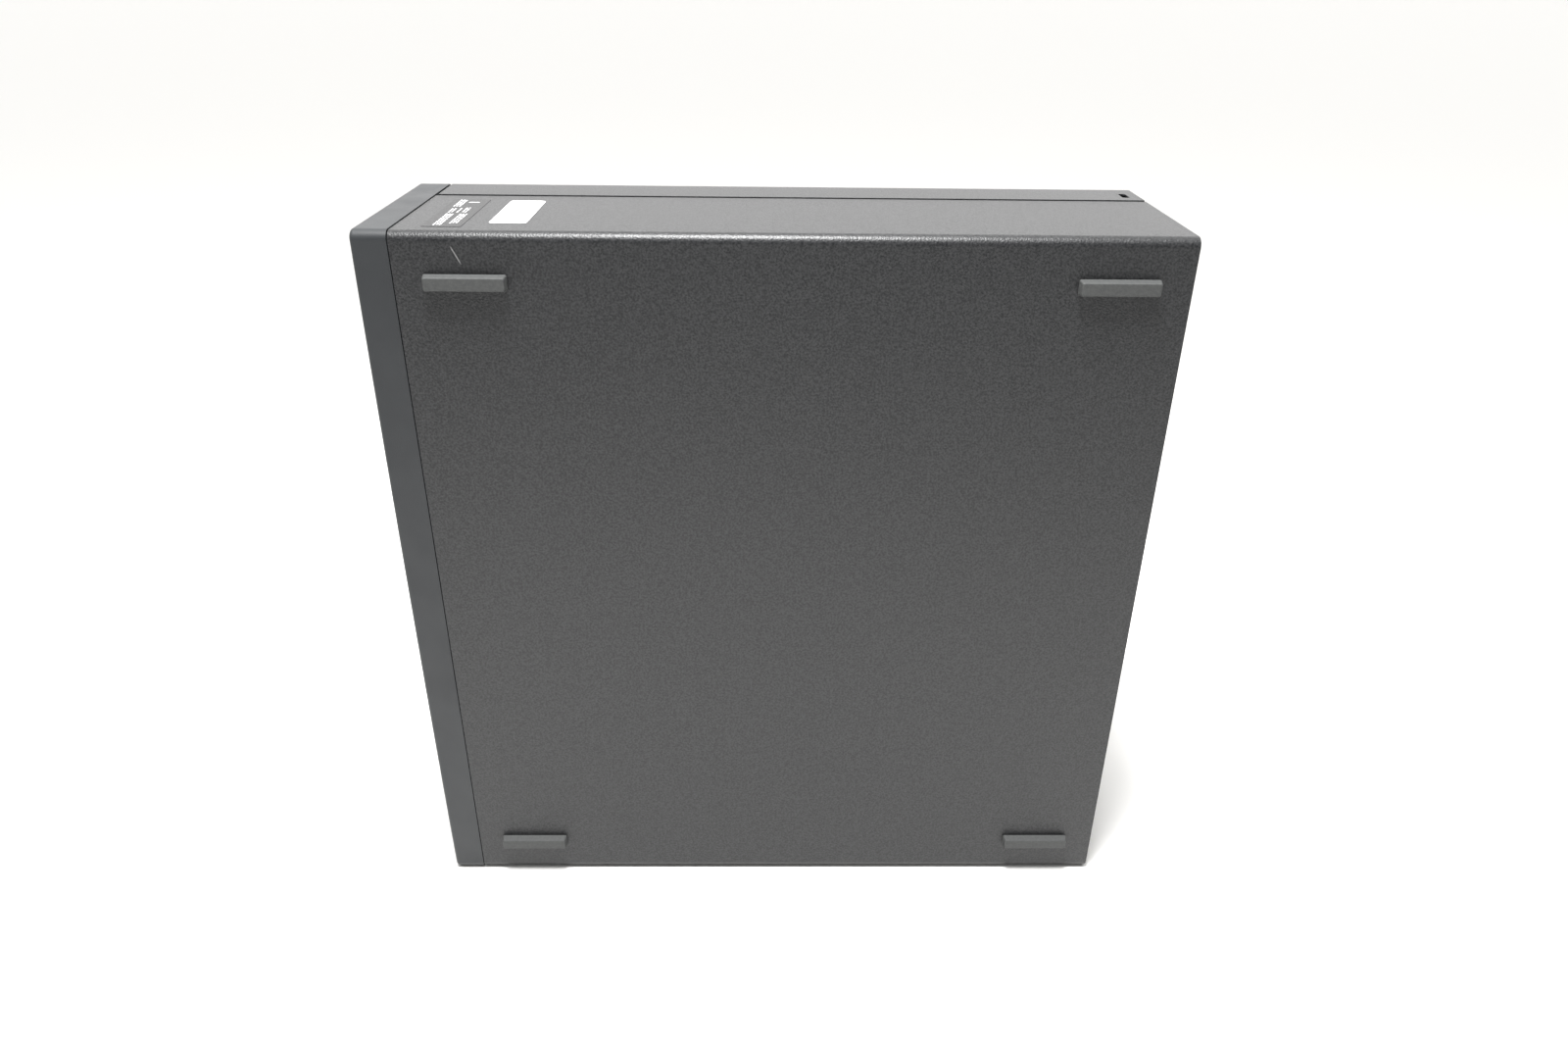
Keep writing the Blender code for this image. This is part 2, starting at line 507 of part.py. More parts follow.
def make_bezel(plastic, clear, dark):
    bm = prism(bezel_outline(), "Y", Y_BEZEL_BACK, Y_FRONT)
    bmesh.ops.recalc_face_normals(bm, faces=bm.faces)
    rim = [e for e in bm.edges if all(v.co.y < Y_FRONT + 1e-6 for v in e.verts)]
    bmesh.ops.bevel(bm, geom=rim, offset=BEZEL_RIM_R, segments=3, profile=0.5, affect="EDGES")
    for i in range(1, 12):
        bmesh.ops.bisect_plane(bm, geom=bm.verts[:] + bm.edges[:] + bm.faces[:],
                               plane_co=(0, 0, BODY_H * i / 12), plane_no=(0, 0, 1), dist=1e-7)
    for vert in bm.verts:
        share = (vert.co.y - Y_BEZEL_BACK) / (Y_FRONT - Y_BEZEL_BACK)
        height = (vert.co.z - BODY_H / 2) / (BODY_H / 2)
        if share > 0.5:
            vert.co.y -= BEZEL_BOW * (1 - height ** 2)
    bezel = put("front_bezel", bm, plastic, origin=(0, Y_BEZEL_BACK, BODY_H / 2), smooth=30)
    carve(bezel, box((X_COVER + BEZEL_WALL, Y_FRONT + BEZEL_WALL, BEZEL_WALL),
                     (X_PAN - BEZEL_WALL, Y_BEZEL_BACK + 3 * mm, BODY_H - BEZEL_WALL), "Y",
                     1.2 * mm))

    def window(x_low, x_high, z_low, z_high, depth=BEZEL_WALL + 1 * mm):
        return (x_low, Y_FRONT - 3 * mm, z_low), (x_high, Y_FRONT + depth, z_high)

    cuts = [window(X_DRIVE - RUN, X_DRIVE + DISC_DRIVE[0] + RUN, Z_DRIVE[0] - RUN,
                   Z_DRIVE[1] + RUN),
            window(X_PORT - BUTTON / 2 - RUN, X_PORT + BUTTON / 2 + RUN,
                   Z_BUTTON - BUTTON / 2 - RUN, Z_BUTTON + BUTTON / 2 + RUN)]
    for i in range(VENT_COUNT):
        z = VENT_LOW + i * VENT_PITCH
        cuts.append(window(X_COVER + 10 * mm, X_PAN - 10 * mm, z - VENT_H / 2, z + VENT_H / 2))
    for i in range(PORT_COUNT):
        z = Z_PORT + i * PORT_PITCH
        cuts.append(window(X_PORT - USB[0] / 2 - RUN, X_PORT + USB[0] / 2 + RUN,
                           z - USB[1] / 2 - RUN, z + USB[1] / 2 + RUN))
    carve(bezel, boxes(cuts))
    holes = rod((X_PORT, Y_FRONT, Z_JACK), "Y", JACK_R + RUN, 8 * mm, 20)
    add_rod(holes, (X_PORT, Y_FRONT, Z_LIGHT), "Y", LIGHT_R + GAP, 8 * mm, 16)
    carve(bezel, holes)
    tongues = bmesh.new()
    for x in TONGUE_X:
        for z in TONGUE_Z:
            side = BEZEL_WALL if z > BODY_H / 2 else -BEZEL_WALL
            z_low, z_high = z - TONGUE[1] / 2, z + TONGUE[1] / 2
            add_box(tongues, (x - TONGUE[0] / 2, Y_BEZEL_BACK - 1 * mm, z_low),
                    (x + TONGUE[0] / 2, Y_BEZEL_BACK + TONGUE_REACH, z_high))
            root = (z_low, BODY_H - 1 * mm) if side > 0 else (1 * mm, z_high)
            add_box(tongues, (x - TONGUE[0] / 2 + 0.2 * mm, Y_BEZEL_BACK - 3 * mm, root[0] + 0.1 * mm),
                    (x + TONGUE[0] / 2 - 0.2 * mm, Y_BEZEL_BACK - 0.5 * mm, root[1] - 0.1 * mm))
    weld(bezel, tongues)
    bezel.modifiers[-1].use_self = True

    put("power_light", rod((X_PORT, Y_FRONT + 3.6 * mm, Z_LIGHT), "Y", LIGHT_R, 7.4 * mm, 16),
        clear, origin=(X_PORT, Y_FRONT, Z_LIGHT), parent=bezel, smooth=40)
    low = (X_PORT - BUTTON / 2, Y_FRONT - 0.2 * mm, Z_BUTTON - BUTTON / 2)
    high = (X_PORT + BUTTON / 2, Y_FRONT + 6 * mm, Z_BUTTON + BUTTON / 2)
    put("power_button", box(low, high, "Y", 3 * mm, 4), dark,
        origin=(X_PORT, Y_FRONT, Z_BUTTON), parent=bezel, smooth=40)


# ---------------------------------------------------------------- drives
def make_drives(steel, shell, plastic, caddy_look):
    c = CAGE_SHEET
    shelf = X_DISK + HARD_DISK[0]
    outline = [(X_CAGE, Z_CAGE[0] - c), (shelf, Z_CAGE[0] - c), (shelf, Z_CAGE[0]),
               (X_CAGE + c, Z_CAGE[0]), (X_CAGE + c, Z_CAGE[1]), (shelf, Z_CAGE[1]),
               (shelf, Z_CAGE[1] + c), (X_CAGE + c, Z_CAGE[1] + c),
               (X_CAGE + c, Z_TOP_IN - GAP), (X_CAGE, Z_TOP_IN - GAP)]
    cage = put("drive_cage", prism(outline, "Y", Y_WALL + GAP, Y_DISK + HARD_DISK[1]), steel)
    cuts = [((X_CAGE - 2 * mm, Y_WALL + (24 + 40 * i) * mm, Z_CAGE[0] + 14 * mm),
             (X_CAGE + 2 * c, Y_WALL + (44 + 40 * i) * mm, Z_CAGE[1] - 14 * mm)) for i in range(3)]
    cuts.append(((X_CAGE - 2 * mm, Y_CASE, Z_TOP_IN - SHEET - 3 * GAP),
                 (X_CAGE + 2 * c, Y_CASE + WALL_LIP + GAP, Z_TOP_IN)))
    carve(cage, boxes(cuts))

    # the caddy is a tray around the disk, open at the rear and on both broad faces
    caddy_low = (X_DISK, Y_DISK - 1 * mm, Z_CAGE[0] + GAP)
    caddy_high = (X_DISK + HARD_DISK[0], Y_DISK + HARD_DISK[1] - 1 * mm, Z_CAGE[1] - GAP)
    caddy = put("disk_caddy", box(caddy_low, caddy_high, "X", 1 * mm), caddy_look)
    z_disk = (sum(Z_DRIVE) - HARD_DISK[2]) / 2
    carve(caddy, box((X_DISK - 2 * mm, Y_DISK + 1 * mm - GAP, z_disk - GAP),
                     (shelf + 2 * mm, Y_DISK + HARD_DISK[1] + 2 * mm, z_disk + HARD_DISK[2] + GAP)))
    rail = (caddy_low[2] + 2 * mm, z_disk - GAP - 2 * mm)
    pockets = [((X_DISK + 2 * mm, Y_DISK + (8 + 46 * i) * mm, low),
                (shelf + 2 * mm, Y_DISK + (48 + 46 * i) * mm, high))
               for i in range(3)
               for low, high in (rail, (sum(Z_DRIVE) - rail[1], sum(Z_DRIVE) - rail[0]))]
    carve(caddy, boxes(pockets))
    disk = put("hard_disk", box((X_DISK + 0.2 * mm, Y_DISK + 1 * mm, z_disk),
                                (shelf - 0.2 * mm, Y_DISK + HARD_DISK[1], z_disk + HARD_DISK[2]),
                                "X", 3 * mm), shell)
    carve(disk, boxes([((X_DISK - 1 * mm, Y_DISK + 12 * mm, z_disk + 10 * mm),
                        (X_DISK + 1.4 * mm, Y_DISK + 108 * mm, z_disk + HARD_DISK[2] - 10 * mm))]))

    w, d, h = DISC_DRIVE
    drive = put("optical_drive", box((X_DRIVE, Y_DRIVE, Z_DRIVE[0]),
                                     (X_DRIVE + w, Y_DRIVE + d, Z_DRIVE[1])), steel)
    skin = 0.6 * mm
    carve(drive, box((X_DRIVE + skin, Y_DRIVE - 2 * mm, Z_DRIVE[0] + skin),
                     (X_DRIVE + w - skin, Y_DRIVE + d - skin, Z_DRIVE[1] - skin)))

    middle = (X_DRIVE + w / 2, Y_DRIVE, sum(Z_DRIVE) / 2)
    tray_low = (X_DRIVE + 2.6 * mm, Y_DRIVE - GAP - 0.5 * mm, Z_DRIVE[0] + 1.6 * mm)
    tray_high = (X_DRIVE + w - skin - GAP, Y_DRIVE + d - skin - RUN, Z_DRIVE[1] - 1.6 * mm)
    tray = put("optical_tray", box(tray_low, tray_high), plastic, origin=middle, smooth=30)
    weld(tray, box((X_DRIVE, Y_FRONT + 0.1 * mm, Z_DRIVE[0]),
                   (X_DRIVE + w, Y_DRIVE - GAP, Z_DRIVE[1]), "Y", 0.8 * mm, 2))
    disc_y = (tray_low[1] + tray_high[1]) / 2 + 0.4 * mm
    carve(tray, rod((tray_low[0], disc_y, middle[2]), "X", DISC_R, 4 * mm, 64))
    carve(tray, rod((tray_low[0] + 2 * mm, disc_y, middle[2]), "X", 18 * mm, 8 * mm, 32))
    weld(tray, rod((tray_low[0] + 5.0 * mm, disc_y, middle[2]), "X", 7.3 * mm, 4 * mm, 24))
    button_z = Z_DRIVE[0] + 14 * mm
    x_mid = X_DRIVE + w / 2 + 0.8 * mm
    carve(tray, box((x_mid - EJECT[0] / 2 - RUN, Y_FRONT - 2 * mm, button_z - EJECT[1] / 2 - RUN),
                    (x_mid + EJECT[0] / 2 + RUN, Y_DRIVE + 2.4 * mm, button_z + EJECT[1] / 2 + RUN)))
    put("eject_button", box((x_mid - EJECT[0] / 2, Y_FRONT - 0.2 * mm, button_z - EJECT[1] / 2),
                            (x_mid + EJECT[0] / 2, Y_DRIVE + 1.2 * mm, button_z + EJECT[1] / 2),
                            "Y", 0.6 * mm, 2), plastic, origin=(x_mid, Y_FRONT, button_z),
        parent=tray)


# ---------------------------------------------------------------- fans
def make_fan(prefix, centre, axis, size, hub_r, fan_look):
    """A square fan frame with three struts on its +axis side, and the rotor inside it."""
    turn = Matrix.Translation(centre) @ TURN[axis]
    bore = size / 2 - FAN_RIM
    half = FAN_T / 2

    def placed(bm):
        bm.transform(turn)
        return bm

    frame = put(f"{prefix}_frame", placed(box((-size / 2, -size / 2, -half),
                                              (size / 2, size / 2, half), "Z", 3 * mm)),
                fan_look, smooth=30)
    carve(frame, placed(rod((0, 0, 0), "Z", bore, FAN_T + 4 * mm, 40)))
    weld(frame, placed(rod((0, 0, half - 1.4 * mm), "Z", hub_r, 2.4 * mm, 24)))
    for i in range(3):
        arm = box((0, -1.5 * mm, half - 2.2 * mm), (bore + 1.5 * mm, 1.5 * mm, half - 0.5 * mm))
        arm.transform(Matrix.Rotation(math.radians(120 * i + 15), 4, "Z"))
        weld(frame, placed(arm))

    rotor_high = half - 2.6 * mm - GAP
    rotor_low = -half + 1.0 * mm
    hub = rod((0, 0, (rotor_high + rotor_low) / 2), "Z", hub_r, rotor_high - rotor_low, 28)
    rotor = put(f"{prefix}_rotor", placed(hub), fan_look, origin=Vector(centre), smooth=30)
    tip = bore - 1.0 * mm
    for i in range(BLADE_COUNT):
        blade = bmesh.new()
        add_box(blade, (hub_r - 1.5 * mm, -BLADE_T / 2, rotor_low + 0.4 * mm),
                (tip, BLADE_T / 2, rotor_high - 0.6 * mm))
        for vert in blade.verts:
            swing = math.radians(BLADE_TWIST) * (vert.co.z - rotor_low) / (rotor_high - rotor_low)
            vert.co = Matrix.Rotation(swing, 3, "Z") @ vert.co
            vert.co.z = min(vert.co.z, rotor_high - 0.4 * mm)
        blade.transform(Matrix.Rotation(2 * math.pi * i / BLADE_COUNT, 4, "Z"))
        weld(rotor, placed(blade))


# ---------------------------------------------------------------- power supply
def make_psu(steel, board_look, fan_look, plastic):
    x, y, z = X_PSU, Y_PSU, Z_PSU
    w, d, h = PSU
    s = PSU_SHEET
    housing = put("psu_housing", box((x, y, z), (x + w, y + d, z + h), "Y", FOLD_R - SHEET - GAP),
                  steel, smooth=30)
    carve(housing, box((x - 3 * mm, y + s, z + s), (x + w - s, y + d - s, z + h - s), "Y",
                       FOLD_R - SHEET - GAP - s))
    inlet_x = x + w - INLET_SIDE
    inlet_z = z + INLET_UP
    cuts = [((inlet_x - INLET[0] / 2 - GAP, y + d - 3 * mm, inlet_z - INLET[1] / 2 - GAP),
             (inlet_x + INLET[0] / 2 + GAP, y + d + 2 * mm, inlet_z + INLET[1] / 2 + GAP))]
    # a column of vents beside the inlet, and a shorter one above it
    for x_low, x_high, z_low, count in ((7 * mm, 40 * mm, 6 * mm, 11), (44 * mm, 72 * mm, 33 * mm, 5)):
        for i in range(count):
            vent = z + z_low + i * PSU_VENT_PITCH
            cuts.append(((x + x_low, y + d - 3 * mm, vent),
                         (x + x_high, y + d + 2 * mm, vent + PSU_VENT_H)))
    carve(housing, boxes(cuts))
    centre = (x + w / 2, y + s + GAP + FAN_T / 2, z + h / 2)
    carve(housing, rod((centre[0], y, centre[2]), "Y", PSU_FAN / 2 - FAN_RIM, 8 * mm, 40))

    lid = put("psu_lid", box((x - GAP - s, y, z), (x - GAP, y + d, z + h), "X", 1 * mm), steel)
    weld(lid, boxes([((x - GAP - s / 2, y + 24 * mm, z + s + GAP),
                      (x + 8 * mm, y + d - 10 * mm, z + 2 * s + GAP)),
                     ((x - GAP - s / 2, y + 24 * mm, z + h - 2 * s - GAP),
                      (x + 8 * mm, y + d - 10 * mm, z + h - s - GAP))]))

    make_fan("psu_fan", centre, "Y", PSU_FAN, PSU_HUB_R, fan_look)

    # one circuit board with its transformer, capacitor and two heat sinks
    base = x + w - s - GAP
    board_y = (y + s + FAN_T + 6 * mm, y + d - 22 * mm)
    board = put("psu_board", box((base - 6.0 * mm, board_y[0], z + 4 * mm),
                                 (base - 4.4 * mm, board_y[1], z + h - 4 * mm)), board_look)
    parts = bmesh.new()
    for py in (board_y[0] + 5 * mm, board_y[1] - 5 * mm):
        for pz in (z + 9 * mm, z + h - 9 * mm):
            add_rod(parts, (base - 2.5 * mm, py, pz), "X", 2.5 * mm, 5 * mm, 10)
    capacitor_y = board_y[1] - 14 * mm
    add_box(parts, (base - 36 * mm, board_y[0] + 46 * mm, z + 20 * mm),
            (base - 5 * mm, capacitor_y - 15 * mm, z + 44 * mm))
    add_box(parts, (base - 48 * mm, board_y[0] + 12 * mm, z + 12 * mm),
            (base - 5 * mm, board_y[0] + 40 * mm, z + 15 * mm))
    add_box(parts, (base - 48 * mm, board_y[0] + 12 * mm, z + h - 15 * mm),
            (base - 5 * mm, board_y[0] + 40 * mm, z + h - 12 * mm))
    add_rod(parts, (base - 22 * mm, capacitor_y, z + 22 * mm), "X", 11 * mm, 34 * mm, 20)
    weld(board, parts)

    y_out = Y_REAR_IN
    flange = 2.0 * mm
    inlet = put("power_inlet", box((inlet_x - INLET[0] / 2 - 2 * mm, y_out, inlet_z - INLET[1] / 2
                                    - 2 * mm), (inlet_x + INLET[0] / 2 + 2 * mm, y_out + flange,
                                                inlet_z + INLET[1] / 2 + 2 * mm), "Y", 2 * mm),
                plastic, smooth=30)
    weld(inlet, box((inlet_x - INLET[0] / 2, y_out - 18 * mm, inlet_z - INLET[1] / 2),
                    (inlet_x + INLET[0] / 2, y_out + flange / 2, inlet_z + INLET[1] / 2)))
    pocket = [(-12, -8), (12, -8), (12, 3), (7.5, 8), (-7.5, 8), (-12, 3)]
    carve(inlet, prism([(inlet_x + px * mm, inlet_z + pz * mm) for px, pz in pocket], "Y",
                       y_out - 14 * mm, y_out + 4 * mm))
    pins = bmesh.new()
    for px, pz in ((-7, -2), (0, 2), (7, -2)):
        add_box(pins, (inlet_x + (px - 1) * mm, y_out - 15 * mm, inlet_z + (pz - 2) * mm),
                (inlet_x + (px + 1) * mm, y_out - 2 * mm, inlet_z + (pz + 2) * mm))
    weld(inlet, pins)


# ---------------------------------------------------------------- board and what it carries
def make_board(board_look, plastic, metal, steel, silver, fan_look):
    board = put("motherboard", box((X_BOARD, Y_BOARD[0], Z_BOARD[0]),
                                   (X_BOARD_BACK, Y_BOARD[1], Z_BOARD[1]), "X", 1 * mm), board_look)
    blocks = bmesh.new()
    for (y_low, y_high), (z_low, z_high), tall in HEADERS.values():
        add_box(blocks, (X_BOARD - tall, y_low, z_low), (X_BOARD + 0.4 * mm, y_high, z_high))
    weld(board, blocks)

    y, z = CPU
    seat = X_BOARD - GAP
    socket = put("cpu_socket", box((seat - 4 * mm, y - 22 * mm, z - 22 * mm),
                                   (seat, y + 22 * mm, z + 22 * mm), "X", 2 * mm), metal)
    weld(socket, box((seat - 5.4 * mm, y - 15 * mm, z - 15 * mm),
                     (seat - 3 * mm, y + 15 * mm, z + 15 * mm)))

    base_low = seat - 5.4 * mm - GAP
    base_high = base_low - 6 * mm
    tips = base_high - FIN_H
    pitch = (HEATSINK - FIN_T) / (FIN_COUNT - 1)
    outline = [(base_low, y + HEATSINK / 2), (base_low, y - HEATSINK / 2)]
    for i in range(FIN_COUNT):
        start = y - HEATSINK / 2 + i * pitch
        if i > 0:
            outline.append((base_high, start))
        outline += [(tips, start), (tips, start + FIN_T)]
        if i < FIN_COUNT - 1:
            outline.append((base_high, start + FIN_T))
    sink = put("heatsink", prism(outline, "Z", z - HEATSINK / 2, z + HEATSINK / 2), metal)
    legs = bmesh.new()
    for dy in (-1, 1):
        for dz in (-1, 1):
            add_rod(legs, ((base_high + seat) / 2 + 1 * mm, y + dy * 34 * mm, z + dz * 34 * mm),
                    "X", 3 * mm, seat - base_high - 2 * mm, 10)
    weld(sink, legs)
    make_fan("cpu_fan", (tips - GAP - FAN_T / 2, y, z), "X", CPU_FAN, CPU_HUB_R, fan_look)

    # memory: slot, module and a swinging latch at the upper end of each
    for i in range(2):
        y = MEMORY_Y + i * MODULE_PITCH
        low = (seat - MEMORY_SLOT_H, y - MEMORY_SLOT_W / 2, MEMORY_Z)
        high = (seat, y + MEMORY_SLOT_W / 2, MEMORY_Z + MODULE_L + 8 * mm)
        slot = put(f"memory_slot_{i + 1}", box(low, high, "X", 0.6 * mm, 1), plastic)
        carve(slot, box((low[0] - 2 * mm, y - 0.9 * mm, low[2] + 4 * mm - GAP),
                        (seat - SLOT_FLOOR, y + 0.9 * mm, high[2] - 4 * mm + GAP)))
        foot = seat - SLOT_FLOOR - GAP
        stick = put(f"memory_module_{i + 1}",
                    box((foot - MODULE_H, y - MODULE_T / 2, low[2] + 4 * mm),
                        (foot, y + MODULE_T / 2, high[2] - 4 * mm)), board_look)
        chips = bmesh.new()
        for k in range(8):
            chip = low[2] + (9 + 15.6 * k) * mm
            add_box(chips, (foot - MODULE_H + 6 * mm, y - 1.6 * mm, chip),
                    (foot - MODULE_H + 17 * mm, y - 0.4 * mm, chip + 9 * mm))
        weld(stick, chips)
        pivot = (seat - 3.0 * mm, y, high[2] + GAP + 2.4 * mm)
        lever = [(pivot[0] - 11 * mm, pivot[2] - 2.4 * mm)]
        lever += arc((pivot[0], pivot[2]), 2.4 * mm, -90, 90, 8)
        lever += [(pivot[0] - 8 * mm, pivot[2] + 1.2 * mm), (pivot[0] - 12 * mm, pivot[2] + 4 * mm),
                  (pivot[0] - 13 * mm, pivot[2] + 2.6 * mm)]
        put(f"memory_latch_{i + 1}", prism(lever, "Y", y - 2.4 * mm, y + 2.4 * mm), plastic,
            origin=pivot)

    # card slots, blank brackets and the flap that clamps their ends
    for i, z in enumerate(CARD_Z):
        length = CARD_SLOT_L[i]
        y_end = Y_BOARD[1] - 7 * mm
        slot = put(f"card_slot_{i + 1}",
                   box((seat - CARD_SLOT_H, y_end - length, z - CARD_SLOT_W / 2),
                       (seat, y_end, z + CARD_SLOT_W / 2), "X", 0.6 * mm, 1), plastic)
        carve(slot, box((seat - 13 * mm, y_end - length + 2 * mm, z - 0.9 * mm),
                        (seat - 4 * mm, y_end - 2 * mm, z + 0.9 * mm)))
        y_out = Y_REAR_IN - GAP
        blank = put(f"slot_blank_{i + 1}", box((X_CARD, y_out - SHEET, z - BRACKET_W / 2),
                                               (X_CARD + BRACKET_L, y_out, z + BRACKET_W / 2)), steel)
        weld(blank, box((X_CARD, y_out - 11 * mm, z - BRACKET_W / 2 + 1 * mm),
                        (X_CARD + SHEET, y_out - SHEET / 2, z + BRACKET_W / 2 - 1 * mm)))

    put("coin_cell", rod((seat - COIN_T / 2, Y_BOARD[0] + 16 * mm, Z_BOARD[0] + 18 * mm), "X",
                         COIN_R, COIN_T, 32), silver, smooth=40)


def make_card_latch(steel):
    """A flap on two pins behind the slots; it swings outwards from the rear wall."""
    low = (X_LATCH - 17 * mm, Y_LATCH - 0.8 * mm, LATCH_Z[0])
    high = (X_LATCH, Y_LATCH + 0.8 * mm, LATCH_Z[1])
    flap = put("card_latch", rod((X_LATCH, Y_LATCH, sum(LATCH_Z) / 2), "Z", 1.7 * mm,
                                 LATCH_Z[1] - LATCH_Z[0], 16), steel,
               origin=(X_LATCH, Y_LATCH, sum(LATCH_Z) / 2), smooth=40)
    weld(flap, box(low, high))
    weld(flap, rod((X_LATCH, Y_LATCH, sum(LATCH_Z) / 2), "Z", LATCH_PIN_R,
                   LATCH_Z[1] - LATCH_Z[0] + 2 * GAP + 2 * EAR_T, 12))
    weld(flap, box((low[0], Y_LATCH, LATCH_Z[0] + 8 * mm),
                   (low[0] + 1.6 * mm, Y_LATCH + 4 * mm, LATCH_Z[1] - 8 * mm)))


def make_socket(name, low, high, pockets, towards, material):
    """A port shell: a block with blind pockets that open towards -Y or +Y."""
    shell = put(name, box(low, high, "Y", 0.5 * mm, 1), material)
    cuts = []
    for x_low, x_high, z_low, z_high in pockets:
        if towards > 0:
            span = (high[1] - 11 * mm, high[1] + 2 * mm)
        else:
            span = (low[1] - 2 * mm, low[1] + 11 * mm)
        cuts.append(((x_low, span[0], z_low), (x_high, span[1], z_high)))
    carve(shell, boxes(cuts))


def make_rear_ports(metal, plastic, steel):
    seat = X_BOARD - GAP
    cuts = []
    wall = 0.7 * mm
    for name, (z, width, tall, kind) in REAR_PORTS.items():
        out = Y_REAR + 1.0 * mm
        low = (seat - tall, out - 19 * mm, z - width / 2)
        high = (seat, out, z + width / 2)
        if kind == "stack":
            half = tall / 2
            pockets = [(low[0] + wall, low[0] + half - wall, low[2] + wall, high[2] - wall),
                       (low[0] + half + wall, high[0] - wall, low[2] + wall, high[2] - wall)]
        elif kind == "jack":
            pockets = []
        else:
            side = 2.2 * mm if kind == "network" else wall
            pockets = [(low[0] + side, high[0] - side, low[2] + side, high[2] - side)]
        look_of = plastic if kind == "jack" else metal
        if pockets:
            make_socket(name, low, high, pockets, 1, look_of)
        else:
            shell = put(name, box(low, high, "Y", 0.5 * mm, 1), look_of)
            carve(shell, rod(((low[0] + high[0]) / 2, out, z), "Y", JACK_HOLE_R, 22 * mm, 16))
        cuts.append(((low[0] - RUN, Y_REAR - 8 * mm, low[2] - RUN),
                     (high[0] + 0.1 * mm, Y_REAR + 2 * mm, high[2] + RUN)))
    x_low, x_high, z_low, z_high = IO_WINDOW
    out = Y_REAR_IN - GAP
    shield = put("io_shield", box((x_low - 2 * mm, out - 0.5 * mm, z_low - 2 * mm),
                                  (x_high + 1.4 * mm, out, z_high + 2 * mm)), steel)
    carve(shield, boxes(cuts))


def make_front_ports(board_look, metal, plastic):
    y_out = Y_FRONT + 0.4 * mm
    x_low, x_high = X_PORT - USB[0] / 2, X_PORT + USB[0] / 2
    wall = 0.6 * mm
    for i in range(PORT_COUNT):
        z = Z_PORT + i * PORT_PITCH
        low = (x_low, y_out, z - USB[1] / 2)
        high = (x_high, y_out + 20 * mm, z + USB[1] / 2)
        make_socket(f"front_usb_{i + 1}", low, high,
                    [(low[0] + wall, high[0] - wall, low[2] + wall, high[2] - wall)], -1, metal)
    jack = put("front_audio_jack", rod((X_PORT, y_out + 9 * mm, Z_JACK), "Y", JACK_R, 18 * mm, 24),
               plastic, smooth=40)
    weld(jack, box((x_low, Y_WALL + 2 * mm, Z_JACK - 4 * mm), (x_high, Y_WALL + 12 * mm,
                                                               Z_JACK + 4 * mm)))
    carve(jack, rod((X_PORT, y_out, Z_JACK), "Y", JACK_HOLE_R, 28 * mm, 16))
    put("front_io_board", box((x_high + GAP, Y_WALL + GAP, Z_PORT - 12 * mm),
                              (x_high + GAP + BOARD_T, Y_WALL + 28 * mm,
                               Z_JACK + 10 * mm)), board_look)


def make_padlock_loop(steel):
    """A folded steel tab with a hole for a padlock, its foot flat on the rear wall."""
    x, z = X_COVER + 30 * mm, Z_PSU + PSU[2] + 52 * mm
    y = Y_REAR + GAP
    end = Y_REAR + REAR_PROUD
    corner = 3 * mm
    outline = ([(x - 12 * mm, y), (x + 12 * mm, y)]
               + arc((x + 12 * mm - corner, end - corner), corner, 0, 90)
               + arc((x - 12 * mm + corner, end - corner), corner, 90, 180))
    tab = put("padlock_loop", prism(outline, "Z", z, z + 2 * mm), steel, smooth=40)
    weld(tab, box((x - 11 * mm, y, z + 1 * mm), (x + 11 * mm, y + 1.4 * mm, z + 11 * mm)))
    carve(tab, box((x - 8 * mm, y + 2 * mm, z - 2 * mm), (x + 8 * mm, end - 1.9 * mm, z + 4 * mm),
                   "Z", 1.2 * mm))


def header_spot(name):
    """Middle of a header's outer face, just off it."""
    (y_low, y_high), (z_low, z_high), tall = HEADERS[name]
    return X_BOARD - tall - GAP, (y_low + y_high) / 2, (z_low + z_high) / 2


def make_cables(black, grey):
    x, y, z = header_spot("power")
    top = Z_PSU + PSU[2] + 2 * GAP
    cable("power_harness", [(X_PSU + 12 * mm, Y_PSU + 18 * mm, top),
                            (X_PSU + 12 * mm, Y_PSU + 18 * mm, top + 5 * mm),
                            (X_PSU + 26 * mm, y - 4 * mm, z + 2 * mm), (x - 12 * mm, y, z),
                            (x, y, z)], 2.6 * mm, black)
    x, y, z = header_spot("disk")
    back = Y_DISK + HARD_DISK[1] + GAP
    cable("disk_cable", [(x, y, z), (x - 10 * mm, y, z + 1 * mm), (x - 26 * mm, y - 2 * mm, z + 6 * mm),
                         (X_DISK + HARD_DISK[0] / 2, back + 5 * mm, z + 12 * mm),
                         (X_DISK + HARD_DISK[0] / 2, back, z + 12 * mm)], 1.6 * mm, black)
    x, y, z = header_spot("fan")
    side = CPU[0] - CPU_FAN / 2 - GAP
    x_fan = X_BOARD - 42 * mm
    cable("fan_cable", [(x_fan, side, CPU[1] + 26 * mm), (x_fan, side - 4 * mm, CPU[1] + 26 * mm),
                        (x - 12 * mm, y, z), (x, y, z)], 1.2 * mm, grey)
    x, y, z = header_spot("front")
    board_x = X_PORT + USB[0] / 2 + GAP + BOARD_T / 2
    cable("front_io_cable", [(board_x, Y_WALL + 28 * mm + 2 * GAP, Z_PORT + 4 * mm),
                             (board_x, Y_WALL + 36 * mm, Z_PORT + 2 * mm),
                             (board_x - 4 * mm, y - 10 * mm, z + 4 * mm),
                             (x - 7 * mm, y - 1 * mm, z), (x, y, z)], 1.6 * mm, grey)


